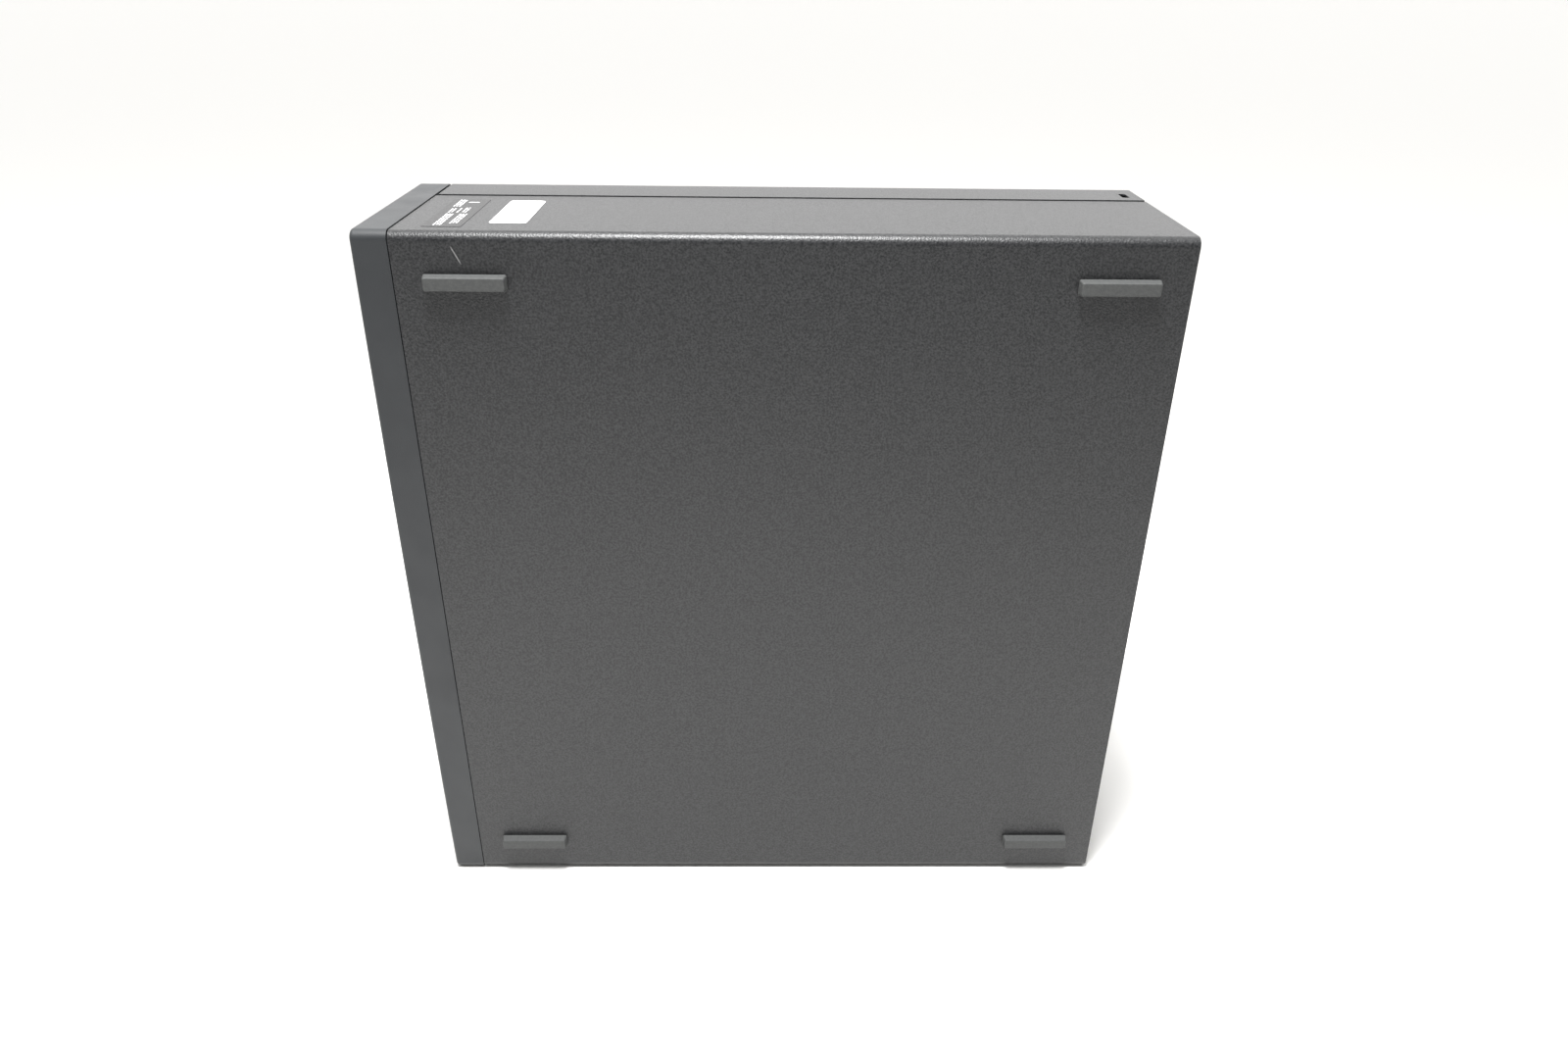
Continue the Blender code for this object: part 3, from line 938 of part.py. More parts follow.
def make_speaker(plastic):
    low = (X_PORT - 9 * mm, Y_WALL + GAP, SPEAKER_Z[0])
    high = (X_PORT + 11 * mm, Y_WALL + 13 * mm, SPEAKER_Z[1])
    speaker = put("speaker", box(low, high, "Y", 2 * mm), plastic)
    carve(speaker, rod((X_PORT + 1 * mm, low[1], sum(SPEAKER_Z) / 2), "Y", 7 * mm, 3 * mm, 24))


def main():
    for thing in list(bpy.data.objects):
        bpy.data.objects.remove(thing)
    paint = look("black_powder_coat", (0.020, 0.021, 0.023), 0.46)
    bezel_plastic = look("black_bezel_plastic", (0.020, 0.022, 0.024), 0.50)
    dark = look("gloss_black_plastic", (0.012, 0.012, 0.013), 0.25)
    rubber = look("grey_rubber", (0.110, 0.113, 0.112), 0.75)
    steel = look("zinc_plated_steel", (0.56, 0.57, 0.58), 0.36, 1.0)
    aluminium = look("cast_aluminium", (0.70, 0.71, 0.72), 0.40, 1.0)
    port_metal = look("nickel_port_shell", (0.68, 0.67, 0.64), 0.28, 1.0)
    board_green = look("green_circuit_board", (0.015, 0.075, 0.035), 0.42)
    connector = look("black_connector_plastic", (0.018, 0.018, 0.019), 0.55)
    fan_black = look("black_fan_plastic", (0.025, 0.025, 0.027), 0.48)
    caddy_blue = look("blue_caddy_plastic", (0.030, 0.115, 0.300), 0.48)
    clear = look("frosted_light_pipe", (0.75, 0.78, 0.80), 0.30)
    silver = look("cell_steel", (0.72, 0.72, 0.70), 0.24, 1.0)
    cable_black = look("black_cable_jacket", (0.020, 0.020, 0.021), 0.60)
    cable_grey = look("grey_cable_jacket", (0.20, 0.20, 0.21), 0.60)

    make_chassis(paint)
    make_front_wall(steel)
    make_cover(paint, connector)
    make_pads(rubber)
    make_bezel(bezel_plastic, clear, dark)
    make_drives(steel, aluminium, bezel_plastic, caddy_blue)
    make_psu(steel, board_green, fan_black, connector)
    make_board(board_green, connector, aluminium, steel, silver, fan_black)
    make_card_latch(steel)
    make_rear_ports(port_metal, connector, steel)
    make_front_ports(board_green, port_metal, connector)
    make_padlock_loop(steel)
    make_cables(cable_black, cable_grey)
    make_speaker(connector)


main()
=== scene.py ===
# %% [markdown]
# # A small desktop computer standing on its side
#
# The computer is a folded steel case with a moulded front.  It stands on its narrow base: the plain
# pan of the case faces +X with four rubber pads on it, the lift-off cover faces -X, the front
# faces -Y and the sockets face +Y.  Everything here is in metres.
#
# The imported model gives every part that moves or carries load.  This script keeps those parts where
# they are, gives each of them a finish, and models again by hand the ones that are seen closest:
# folded sheet has soft bends and broken edges that a plain solid doesn't have.

# %% Load the frame
import json
import math
import random

import bpy
from mathutils import Matrix, Vector

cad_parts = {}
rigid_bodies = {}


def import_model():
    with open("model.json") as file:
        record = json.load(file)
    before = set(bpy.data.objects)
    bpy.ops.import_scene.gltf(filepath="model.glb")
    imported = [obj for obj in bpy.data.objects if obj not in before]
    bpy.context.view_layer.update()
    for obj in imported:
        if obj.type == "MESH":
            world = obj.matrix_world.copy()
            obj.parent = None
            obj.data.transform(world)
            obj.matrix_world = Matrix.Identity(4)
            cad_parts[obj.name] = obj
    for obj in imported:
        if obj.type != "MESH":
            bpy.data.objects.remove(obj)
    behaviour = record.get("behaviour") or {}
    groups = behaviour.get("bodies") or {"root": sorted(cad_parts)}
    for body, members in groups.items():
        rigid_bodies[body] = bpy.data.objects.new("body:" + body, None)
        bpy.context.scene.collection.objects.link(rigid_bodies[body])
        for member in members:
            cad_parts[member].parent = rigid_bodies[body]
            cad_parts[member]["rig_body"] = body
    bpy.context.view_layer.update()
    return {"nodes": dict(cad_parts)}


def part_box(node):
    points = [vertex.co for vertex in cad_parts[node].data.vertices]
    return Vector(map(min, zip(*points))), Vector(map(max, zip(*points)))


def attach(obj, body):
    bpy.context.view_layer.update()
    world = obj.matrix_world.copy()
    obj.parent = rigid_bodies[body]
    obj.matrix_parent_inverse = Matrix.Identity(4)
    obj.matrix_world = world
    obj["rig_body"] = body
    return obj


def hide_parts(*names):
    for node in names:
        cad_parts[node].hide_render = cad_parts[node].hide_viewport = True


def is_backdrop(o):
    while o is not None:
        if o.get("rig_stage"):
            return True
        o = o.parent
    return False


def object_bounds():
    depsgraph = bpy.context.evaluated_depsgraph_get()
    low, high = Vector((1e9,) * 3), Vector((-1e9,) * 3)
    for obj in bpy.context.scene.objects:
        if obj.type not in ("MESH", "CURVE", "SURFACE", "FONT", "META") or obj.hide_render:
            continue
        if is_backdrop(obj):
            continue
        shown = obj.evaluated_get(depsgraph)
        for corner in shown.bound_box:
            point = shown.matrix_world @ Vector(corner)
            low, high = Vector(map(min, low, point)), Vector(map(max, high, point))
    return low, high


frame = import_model()
mm = 0.001

# %% [markdown]
# The few sizes that the new pieces share are read from the frame: the faces of the cover, of the case
# and of the front.  Sheet gauge, clearance and the width of the step are what the frame can't tell.

# %% Shared sizes
SHEET = 0.9 * mm
GAP = 0.3 * mm
STEP_W = 0.7 * mm            # width of the step from the case down to the ledge under the cover

pan_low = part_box("chassis_pan")[0]
cover_low, cover_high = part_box("access_cover")
pad_low, pad_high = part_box("foot_pad_1")
psu_low, psu_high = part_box("psu_housing")
board_low, board_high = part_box("motherboard")

X_COVER = cover_low.x
X_SEAM = cover_high.x
X_PAN = pad_low.x - GAP
X_IN = X_PAN - SHEET
X_LIP = pan_low.x
Y_CASE = pan_low.y
Y_BEZEL = Y_CASE - GAP       # back of the front moulding
Y_REAR = cover_high.y + GAP
Z_TOP = cover_high.z
Z_CASE = Z_TOP - GAP         # the case top lies a hair under the cover's
Z_LEDGE = Z_TOP - SHEET - GAP
print("case:", round((X_PAN - X_COVER) / mm, 1), "mm thick,", round(Z_TOP / mm, 1), "mm high")

# %% [markdown]
# Floor, world and finishes are all built from shader nodes, so the helpers for these come first.


# %% Shader nodes
def add_node(owner, kind, **values):
    """A shader node of a material or a world, with some of its sockets filled in."""
    made = owner.node_tree.nodes.new(kind)
    for name, value in values.items():
        made.inputs[name.replace("_", " ")].default_value = value
    return made


def shader_of(material):
    return material.node_tree.nodes["Principled BSDF"]


def join(owner, source, target):
    owner.node_tree.links.new(source, target)


# %% [markdown]
# ## Camera, floor and light
#
# The computer is looked at a little from above and square on to its pan, from close by, so its top
# is seen at a very flat angle and shines with what stands behind it.  A pale surrounding that is
# brighter behind the object than in front gives that shine, and leaves the big upright face dark.
# The floor is painted darker away from the object along +X.  This is painted shade where less light
# would fall, and it also darkens what the upright face reflects.
# One soft lamp high over the pan's side draws the bright line along the top fold.

# %% Camera
camera_data = bpy.data.cameras.new("camera")
camera_data.sensor_width = 36.0
camera_data.lens = 25.34
camera_data.shift_y = 0.01757
camera = bpy.data.objects.new("camera", camera_data)
bpy.context.scene.collection.objects.link(camera)
right = Vector((0.012279, 0.999863, 0.011143))
up = Vector((-0.473299, -0.004005, 0.880893))
back = Vector((0.880816, -0.016090, 0.473185))
camera.matrix_world = Matrix.Translation((0.42528, -0.00742, 0.37298)) @ Matrix(
    (right, up, back)).transposed().to_4x4()
bpy.context.scene.camera = camera
print("camera height in mm:", round(camera.location.z / mm))

# %% Floor
bpy.ops.object.select_all(action="DESELECT")
bpy.ops.mesh.primitive_plane_add(size=60.0, location=(0.0, 0.0, 0.0))
floor = bpy.context.object
floor.name = "floor"
floor_paint = bpy.data.materials.new("floor_painted_darker_far")
floor_paint.use_nodes = True
shader_of(floor_paint).inputs["Roughness"].default_value = 0.8
spot = add_node(floor_paint, "ShaderNodeTexCoord")
split = add_node(floor_paint, "ShaderNodeSeparateXYZ")
# Painted shade: the floor's colour runs from pale near the object to grey further out along +X, a
# falloff of light painted into the floor
painted_shade_ramp = add_node(floor_paint, "ShaderNodeValToRGB")
painted_lit_end, painted_shade_end = painted_shade_ramp.color_ramp.elements
painted_shade_ramp.color_ramp.interpolation = "EASE"
painted_lit_end.position = 0.30
painted_lit_end.color = (0.90, 0.895, 0.88, 1.0)
painted_shade_end.position = 1.0
painted_shade_end.color = (0.50, 0.50, 0.50, 1.0)
join(floor_paint, spot.outputs["Object"], split.inputs[0])
join(floor_paint, split.outputs["X"], painted_shade_ramp.inputs[0])
join(floor_paint, painted_shade_ramp.outputs["Color"], shader_of(floor_paint).inputs["Base Color"])
floor.data.materials.append(floor_paint)
floor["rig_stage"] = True

# %% World, brighter behind the object than in front of it
world = bpy.data.worlds.new("studio")
bpy.context.scene.world = world
world.use_nodes = True
background = world.node_tree.nodes["Background"].inputs
spot = add_node(world, "ShaderNodeTexCoord")
split = add_node(world, "ShaderNodeSeparateXYZ")
shade = add_node(world, "ShaderNodeMapRange", From_Min=-1.0, From_Max=1.0, To_Min=1.85, To_Max=0.22)
shade.interpolation_type = "SMOOTHSTEP"
join(world, spot.outputs["Generated"], split.inputs[0])
join(world, split.outputs["X"], shade.inputs["Value"])
join(world, shade.outputs["Result"], background["Strength"])
background["Color"].default_value = (1.0, 0.995, 0.985, 1.0)
bpy.context.scene.view_settings.view_transform = "Standard"

# %% Lamp over the pan's side
LAMP_PLACE = Vector((0.22, -0.06, 1.05))
LAMP_AIM = Vector((0.22, 0.0, 0.0))
lamp_data = bpy.data.lights.new("over_the_front", "AREA")
lamp_data.size = 0.22
lamp_data.energy = 20.0
lamp = bpy.data.objects.new("over_the_front", lamp_data)
bpy.context.scene.collection.objects.link(lamp)
lamp.location = LAMP_PLACE
lamp.rotation_euler = (LAMP_AIM - LAMP_PLACE).to_track_quat("-Z", "Y").to_euler()
lamp.visible_camera = False
print("lamp:", lamp_data.energy, "W")

# %% [markdown]
# ## Finishes
#
# Every finish starts from the same three things that a real surface has: a colour that isn't quite
# even, a gloss that isn't quite even, and a fine relief.  Noise on object coordinates gives all
# three, each at its own scale, so the size of the grain stays true wherever the piece lies.


# %% Building blocks for materials
def place_pattern(material, stretch=(1.0, 1.0, 1.0), shift=(0.0, 0.0, 0.0), turn=(0.0, 0.0, 0.0)):
    """Object coordinates through a Mapping node."""
    spot = add_node(material, "ShaderNodeTexCoord")
    mapping = add_node(material, "ShaderNodeMapping", Location=shift, Rotation=turn, Scale=stretch)
    join(material, spot.outputs["Object"], mapping.inputs["Vector"])
    return mapping.outputs["Vector"]


def add_noise(material, scale, stretch=(1.0, 1.0, 1.0), detail=3.0):
    """Noise with so many features to the metre."""
    noise = add_node(material, "ShaderNodeTexNoise", Scale=scale, Detail=detail)
    join(material, place_pattern(material, stretch), noise.inputs["Vector"])
    return noise.outputs["Fac"]


def calculate(material, operation, first, second=None):
    """A Math node on one or two values, each a number or a socket."""
    made = add_node(material, "ShaderNodeMath")
    made.operation = operation
    join(material, first, made.inputs[0])
    if isinstance(second, float):
        made.inputs[1].default_value = second
    elif second is not None:
        join(material, second, made.inputs[1])
    return made.outputs[0]


def spread(material, value, low, high, to_low=0.0, to_high=1.0):
    """Stretch a range of values to another range."""
    made = add_node(material, "ShaderNodeMapRange", From_Min=low, From_Max=high, To_Min=to_low,
                    To_Max=to_high)
    join(material, value, made.inputs["Value"])
    return made.outputs["Result"]


def blend_colours(material, share, first, second):
    """Mix two colours, each a triple or a socket, by a share."""
    mix = material.node_tree.nodes.new("ShaderNodeMix")
    mix.data_type = "RGBA"
    join(material, share, mix.inputs["Factor"])
    for name, colour in (("A", first), ("B", second)):
        socket = [s for s in mix.inputs if s.name == name and s.type == "RGBA"][0]
        if isinstance(colour, tuple):
            socket.default_value = (*colour, 1.0)
        else:
            join(material, colour, socket)
    return [s for s in mix.outputs if s.type == "RGBA"][0]


finishes = {}


def make_finish(name, dark, light, gloss, blotch, grain, relief, metallic=0.0,
                stretch=(1.0, 1.0, 1.0)):
    """A surface with uneven colour and gloss (a roughness range) and a fine relief in metres."""
    material = bpy.data.materials.new(name)
    material.use_nodes = True
    shader = shader_of(material)
    shader.inputs["Metallic"].default_value = metallic
    patches = add_noise(material, blotch)
    colour = blend_colours(material, spread(material, patches, 0.35, 0.65), dark, light)
    join(material, colour, shader.inputs["Base Color"])
    wear = add_noise(material, blotch * 2.3, stretch)
    join(material, spread(material, wear, 0.3, 0.7, *gloss), shader.inputs["Roughness"])
    bump = add_node(material, "ShaderNodeBump", Strength=1.0, Distance=relief)
    join(material, add_noise(material, grain, stretch, 2.0), bump.inputs["Height"])
    join(material, bump.outputs["Normal"], shader.inputs["Normal"])
    finishes[name] = material
    return material


# %% [markdown]
# ### Powder coat
#
# The case is painted with a black textured powder.  It is sprayed on dry and melted in an oven, and
# it sets in a fine orange peel that breaks every highlight into sparkles.  A fine noise makes the
# relief.  A sparse Voronoi pattern leaves the pale specks of dust and small chips that a used case
# has.  The case itself has its own copy of the coat, with one longer scuff beside the upper front
# pad.


# %% Powder coat
def mark(material, share, colour):
    """Lay a colour over the base colour by a share."""
    base = shader_of(material).inputs["Base Color"]
    join(material, blend_colours(material, share, base.links[0].from_socket, colour), base)


def add_specks(material, per_metre, radius, colour, share):
    """Small round specks, on a share of the cells of a Voronoi pattern."""
    cells = add_node(material, "ShaderNodeTexVoronoi", Scale=per_metre)
    join(material, place_pattern(material), cells.inputs["Vector"])
    near = spread(material, cells.outputs["Distance"], radius * per_metre, 0.6 * radius * per_metre)
    chance = add_node(material, "ShaderNodeSeparateColor")
    join(material, cells.outputs["Color"], chance.inputs[0])
    chosen = calculate(material, "LESS_THAN", chance.outputs[0], share)
    mark(material, calculate(material, "MULTIPLY", near, chosen), colour)


def add_scuff(material, start, end, width, colour):
    """A short straight scuff on an upright face that looks along X."""
    run = Vector(end) - Vector(start)
    middle = (Vector(start) + Vector(end)) / 2
    angle = math.atan2(run.z, run.y)
    turned = Matrix.Rotation(-angle, 3, "X") @ middle
    spot = place_pattern(material, shift=tuple(-turned), turn=(-angle, 0.0, 0.0))
    parts = add_node(material, "ShaderNodeSeparateXYZ")
    join(material, spot, parts.inputs[0])
    inside = []
    for axis, half in (("Y", run.length / 2), ("Z", width / 2)):
        size = calculate(material, "ABSOLUTE", parts.outputs[axis])
        inside.append(spread(material, size, half, 0.6 * half))
    mark(material, calculate(material, "MULTIPLY", *inside), colour)


powder_coat = make_finish("powder_coat", (0.005, 0.0055, 0.0065), (0.028, 0.0285, 0.030),
                          (0.33, 0.47), 1300.0, 1500.0, 0.14 * mm)
add_specks(powder_coat, 90.0, 0.35 * mm, (0.16, 0.16, 0.155), 0.05)
case_coat = powder_coat.copy()
case_coat.name = "case_coat"
finishes["case_coat"] = case_coat
add_scuff(case_coat, (X_PAN, pad_low.y + 10.7 * mm, pad_high.z + 9.7 * mm),
          (X_PAN, pad_low.y + 13.9 * mm, pad_high.z + 3.1 * mm), 0.5 * mm, (0.20, 0.20, 0.20))
print("powder coat nodes:", len(powder_coat.node_tree.nodes))

# %% [markdown]
# ### The other finishes
#
# Moulded plastic has a fine spark-eroded grain.  Rolled zinc-plated steel is streaked along one
# direction, so its noise is stretched.  Cast aluminium is coarser.  Port shells are nickel plated.

# %% Plastics, rubber, metals and print
PLAIN_FINISHES = (             # as for make_finish, with the relief in mm
    ("bezel_plastic", (0.017, 0.019, 0.0215), (0.022, 0.0245, 0.027), (0.44, 0.52), 40, 2600, 0.05),
    ("button_plastic", (0.010, 0.010, 0.011), (0.014, 0.014, 0.015), (0.20, 0.30), 60, 3000, 0.01),
    ("pad_rubber", (0.050, 0.052, 0.052), (0.062, 0.064, 0.063), (0.62, 0.74), 900, 2400, 0.05),
    ("zinc_steel", (0.37, 0.38, 0.39), (0.46, 0.47, 0.48), (0.30, 0.46), 60, 900, 0.01, 1, (1.0,
     0.06, 1.0)),
    ("cast_aluminium", (0.60, 0.61, 0.62), (0.72, 0.73, 0.74), (0.34, 0.50), 80, 1600, 0.03, 1),
    ("port_shell", (0.56, 0.55, 0.52), (0.68, 0.67, 0.64), (0.20, 0.34), 200, 3000, 0.006, 1),
    ("connector_plastic", (0.014, 0.014, 0.015), (0.022, 0.022, 0.023), (0.48, 0.62), 120, 3000, 0.02),
    ("fan_plastic", (0.020, 0.020, 0.022), (0.030, 0.030, 0.032), (0.40, 0.56), 60, 2200, 0.02),
    ("caddy_plastic", (0.022, 0.090, 0.250), (0.030, 0.115, 0.300), (0.40, 0.54), 60, 2600, 0.03),
    ("cell_steel", (0.62, 0.62, 0.60), (0.74, 0.74, 0.72), (0.16, 0.28), 200, 2600, 0.005, 1),
    ("cable_black", (0.012, 0.012, 0.013), (0.022, 0.022, 0.023), (0.50, 0.66), 500, 2600, 0.04),
    ("cable_grey", (0.13, 0.13, 0.14), (0.20, 0.20, 0.21), (0.50, 0.66), 500, 2600, 0.04),
    ("light_pipe", (0.62, 0.65, 0.67), (0.74, 0.77, 0.79), (0.24, 0.34), 300, 2400, 0.01),
    ("gold_contact", (0.78, 0.53, 0.20), (0.86, 0.62, 0.27), (0.18, 0.30), 300, 2600, 0.004, 1),
    ("label_white", (0.78, 0.78, 0.77), (0.84, 0.84, 0.83), (0.30, 0.42), 120, 2400, 0.01),
    ("label_dark", (0.008, 0.008, 0.009), (0.020, 0.020, 0.021), (0.38, 0.48), 900, 1500, 0.12),
    ("print_grey", (0.52, 0.52, 0.53), (0.60, 0.60, 0.61), (0.40, 0.50), 200, 2600, 0.004),
    ("print_white", (0.42, 0.42, 0.43), (0.56, 0.56, 0.56), (0.50, 0.60), 900, 2600, 0.004),
    ("lamp_green", (0.10, 0.42, 0.12), (0.14, 0.50, 0.16), (0.18, 0.28), 400, 2600, 0.004),
    ("lamp_amber", (0.72, 0.36, 0.05), (0.80, 0.44, 0.08), (0.18, 0.28), 400, 2600, 0.004),
)
for name, dark, light, gloss, blotch, grain, relief, *metal in PLAIN_FINISHES:
    make_finish(name, dark, light, gloss, blotch, grain, relief * mm, *metal)
shader_of(finishes["light_pipe"]).inputs["Transmission Weight"].default_value = 0.35
print("finishes so far:", len(finishes))

# %% [markdown]
# ### Circuit board
#
# A board is glass cloth under a green solder mask.  Copper tracks under the mask show as lighter
# lines.  They run straight, so a brick pattern with thin joints stands in for them, and a Voronoi
# pattern gives the pale dots of the small plated holes.


# %% Circuit board
def make_board_finish(name, mask, track):
    """Green mask over tracks that run two ways, with plated holes."""
    material = make_finish(name, mask, tuple(1.25 * part for part in mask), (0.30, 0.42), 60.0,
                           1800.0, 0.006 * mm)
    lines = []
    for turn, pitch in ((0.0, 0.9 * mm), (math.pi / 2, 1.7 * mm)):
        bricks = add_node(material, "ShaderNodeTexBrick", Scale=1.0, Mortar_Size=0.12 * pitch,
                          Brick_Width=14 * pitch, Row_Height=pitch)
        join(material, place_pattern(material, turn=(0.0, math.pi / 2, turn)),
             bricks.inputs["Vector"])
        lines.append(bricks.outputs["Fac"])
    patches = spread(material, add_noise(material, 45.0), 0.48, 0.52)
    which = add_node(material, "ShaderNodeMix")
    join(material, patches, which.inputs["Factor"])
    join(material, lines[0], which.inputs[2])
    join(material, lines[1], which.inputs[3])
    mark(material, which.outputs[0], track)
    add_specks(material, 260.0, 0.35 * mm, (0.55, 0.48, 0.30), 0.30)


make_board_finish("circuit_board", (0.010, 0.062, 0.030), (0.020, 0.110, 0.050))

# %% Which finish each carried-over piece gets
CARRIED = {
    "powder_coat": "chassis_pan access_cover",
    "bezel_plastic": "front_bezel optical_tray eject_button",
    "button_plastic": "power_button",
    "pad_rubber": "foot_pad_1 foot_pad_2 foot_pad_3 foot_pad_4",
    "zinc_steel": "chassis_front drive_cage psu_housing psu_lid slot_blank_1 slot_blank_2 card_latch "
                  "io_shield padlock_loop optical_drive",
    "cast_aluminium": "hard_disk heatsink cpu_socket",
    "port_shell": "front_usb_1 front_usb_2 front_usb_3 front_usb_4 rear_usb_1 rear_usb_2 "
                  "network_socket display_socket_1 display_socket_2",
    "circuit_board": "motherboard front_io_board psu_board memory_module_1 memory_module_2",
    "connector_plastic": "latch_dish cover_latch front_audio_jack power_inlet rear_audio_jack "
                         "memory_slot_1 memory_slot_2 card_slot_1 card_slot_2 memory_latch_1 "
                         "memory_latch_2 speaker",
    "fan_plastic": "cpu_fan_frame cpu_fan_rotor psu_fan_frame psu_fan_rotor",
    "caddy_plastic": "disk_caddy",
    "light_pipe": "power_light",
    "cell_steel": "coin_cell",
    "cable_black": "power_harness disk_cable",
    "cable_grey": "fan_cable front_io_cable",
}
finish_of = {node: finish for finish, nodes in CARRIED.items() for node in nodes.split()}
for node, finish in finish_of.items():
    cad = frame["nodes"][node]
    cad.data.materials.clear()
    cad.data.materials.append(finishes[finish])
print("nodes without a finish:", sorted(set(frame["nodes"]) - set(finish_of)))

# %% [markdown]
# ## Tools of the bench
#
# A few short helpers do what a modeller's hands do.  A block is added at its size, and its place is
# put in its mesh.  `pick` goes into edit mode with only the wanted faces, edges or points selected,
# by a test on where they are, and `round_off`, `pull` and `draw_in` do one thing to them.  Modifiers
# are added and applied one at a time.


# %% Blocks, rods and selection
def add_block(name, low, high):
    """A cuboid between two corners, with its place in its mesh."""
    bpy.ops.object.select_all(action="DESELECT")
    low, high = Vector(low), Vector(high)
    bpy.ops.mesh.primitive_cube_add(size=1.0, location=(low + high) / 2, scale=high - low)
    piece = bpy.context.object
    piece.name = name
    bpy.ops.object.transform_apply(location=True, rotation=True, scale=True)
    return piece


def add_rod(name, middle, axis, radius, length, sides=32):
    """A cylinder along X, Y or Z, with its place in its mesh."""
    bpy.ops.object.select_all(action="DESELECT")
    turn = {"X": (0.0, math.pi / 2, 0.0), "Y": (-math.pi / 2, 0.0, 0.0), "Z": (0.0, 0.0, 0.0)}[axis]
    bpy.ops.mesh.primitive_cylinder_add(vertices=sides, radius=radius, depth=length,
                                        location=middle, rotation=turn)
    piece = bpy.context.object
    piece.name = name
    bpy.ops.object.transform_apply(location=True, rotation=True, scale=True)
    return piece


def hold(piece):
    """Select one piece alone, and make it the active one."""
    bpy.ops.object.select_all(action="DESELECT")
    piece.select_set(True)
    bpy.context.view_layer.objects.active = piece


def pick(piece, kind, test):
    """Go into edit mode with only the faces, edges or vertices that pass a test selected."""
    hold(piece)
    bpy.ops.object.mode_set(mode="EDIT")
    bpy.ops.mesh.select_mode(type=kind)
    bpy.ops.mesh.select_all(action="DESELECT")
    bpy.ops.object.mode_set(mode="OBJECT")
    mesh = piece.data
    if kind == "FACE":
        for face in mesh.polygons:
            face.select = test(face.center, face.normal)
    elif kind == "EDGE":
        for edge in mesh.edges:
            ends = [mesh.vertices[i].co for i in edge.vertices]
            edge.select = test(ends[0], ends[1])
    else:
        for vert in mesh.vertices:
            vert.select = test(vert.co)
    bpy.ops.object.mode_set(mode="EDIT")


def done():
    bpy.ops.object.mode_set(mode="OBJECT")


def round_off(piece, radius, segments, test):
    """Bevel the edges that pass a test."""
    pick(piece, "EDGE", test)
    bpy.ops.mesh.bevel(offset=radius, segments=segments)
    done()


def pull(piece, kind, test, shift):
    """Move the faces or vertices that pass a test."""
    pick(piece, kind, test)
    bpy.ops.transform.translate(value=shift)
    done()


def draw_in(piece, test, shares):
    """Scale the faces that pass a test, so that the piece tapers towards them."""
    pick(piece, "FACE", test)
    bpy.ops.transform.resize(value=shares)
    done()


def same(first, second):
    return abs(first - second) < 0.01 * mm


def along(first, second, axis):
    """True for an edge that runs along one axis."""
    run = second - first
    return run.length > 0 and abs(run["xyz".index(axis)]) > 0.999 * run.length


def slice_across(places, normal):
    """Cut the piece in edit mode across, at each place along a direction."""
    for place in places:
        bpy.ops.mesh.select_all(action="SELECT")
        bpy.ops.mesh.bisect(plane_co=Vector(normal) * place, plane_no=normal)


# %% Modifiers
def apply_modifier(piece, kind, **settings):
    """Add a modifier, set it up and apply it."""
    hold(piece)
    modifier = piece.modifiers.new(kind.title(), kind)
    for name, value in settings.items():
        setattr(modifier, name, value)
    bpy.ops.object.modifier_apply(modifier=modifier.name)


def copy_of(piece, shift):
    """A copy of a piece, moved."""
    twin = piece.copy()
    twin.data = piece.data.copy()
    bpy.context.scene.collection.objects.link(twin)
    twin.data.transform(Matrix.Translation(shift))
    return twin


def join_pieces(pieces, name):
    """Join several objects into the first one."""
    bpy.ops.object.select_all(action="DESELECT")
    for piece in pieces:
        piece.select_set(True)
    bpy.context.view_layer.objects.active = pieces[0]
    bpy.ops.object.join()
    pieces[0].name = name
    return pieces[0]


def cut(piece, tool):
    """Cut a tool's shape out of a piece, and throw the tool away."""
    apply_modifier(piece, "BOOLEAN", object=tool, operation="DIFFERENCE", solver="EXACT")
    bpy.data.objects.remove(tool)


def cut_blocks(piece, corners, rounding=0.0, axis="y"):
    """Cut cuboids out of a piece, their edges along one axis rounded."""
    tools = []
    for low, high in corners:
        tool = add_block("tool", low, high)
        if rounding > 0.0:
            round_off(tool, rounding, 4, lambda a, b: along(a, b, axis))
        tools.append(tool)
    cut(piece, join_pieces(tools, "tool"))


def break_edges(piece, width, angle=35.0, segments=2):
    """Round every sharp edge a little."""
    apply_modifier(piece, "BEVEL", width=width, segments=segments, limit_method="ANGLE",
                   angle_limit=math.radians(angle), miter_outer="MITER_SHARP")


def smooth_over(piece, angle=32.0):
    """Shade smooth across small angles, with flat faces kept flat."""
    hold(piece)
    bpy.ops.object.shade_smooth_by_angle(angle=math.radians(angle))
    apply_modifier(piece, "WEIGHTED_NORMAL", keep_sharp=True, weight=80)


def hand_over(piece, finish, *nodes, body="chassis"):
    """Give a shaped piece its finish and its body, and let it stand for its CAD nodes."""
    piece.data.materials.clear()
    piece.data.materials.append(finishes[finish])
    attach(piece, body)
    if nodes:
        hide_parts(*nodes)
    piece.data.calc_loop_triangles()
    print(piece.name, len(piece.data.loop_triangles), "triangles")


# %% [markdown]
# ## The case
#
# The case is one sheet of steel, folded up at the top and the base with a generous bend, and spot
# welded to a rear wall.  Where the cover's flanges lie, the sheet steps down by its own thickness, so
# cover and case come out level.  It could be drawn as a profile and extruded, but folding a block
# shows how the metal is bent: the open sides are deleted, the long edges bevelled to the bend, and
# the free edge extruded twice, down the step and on under the cover.

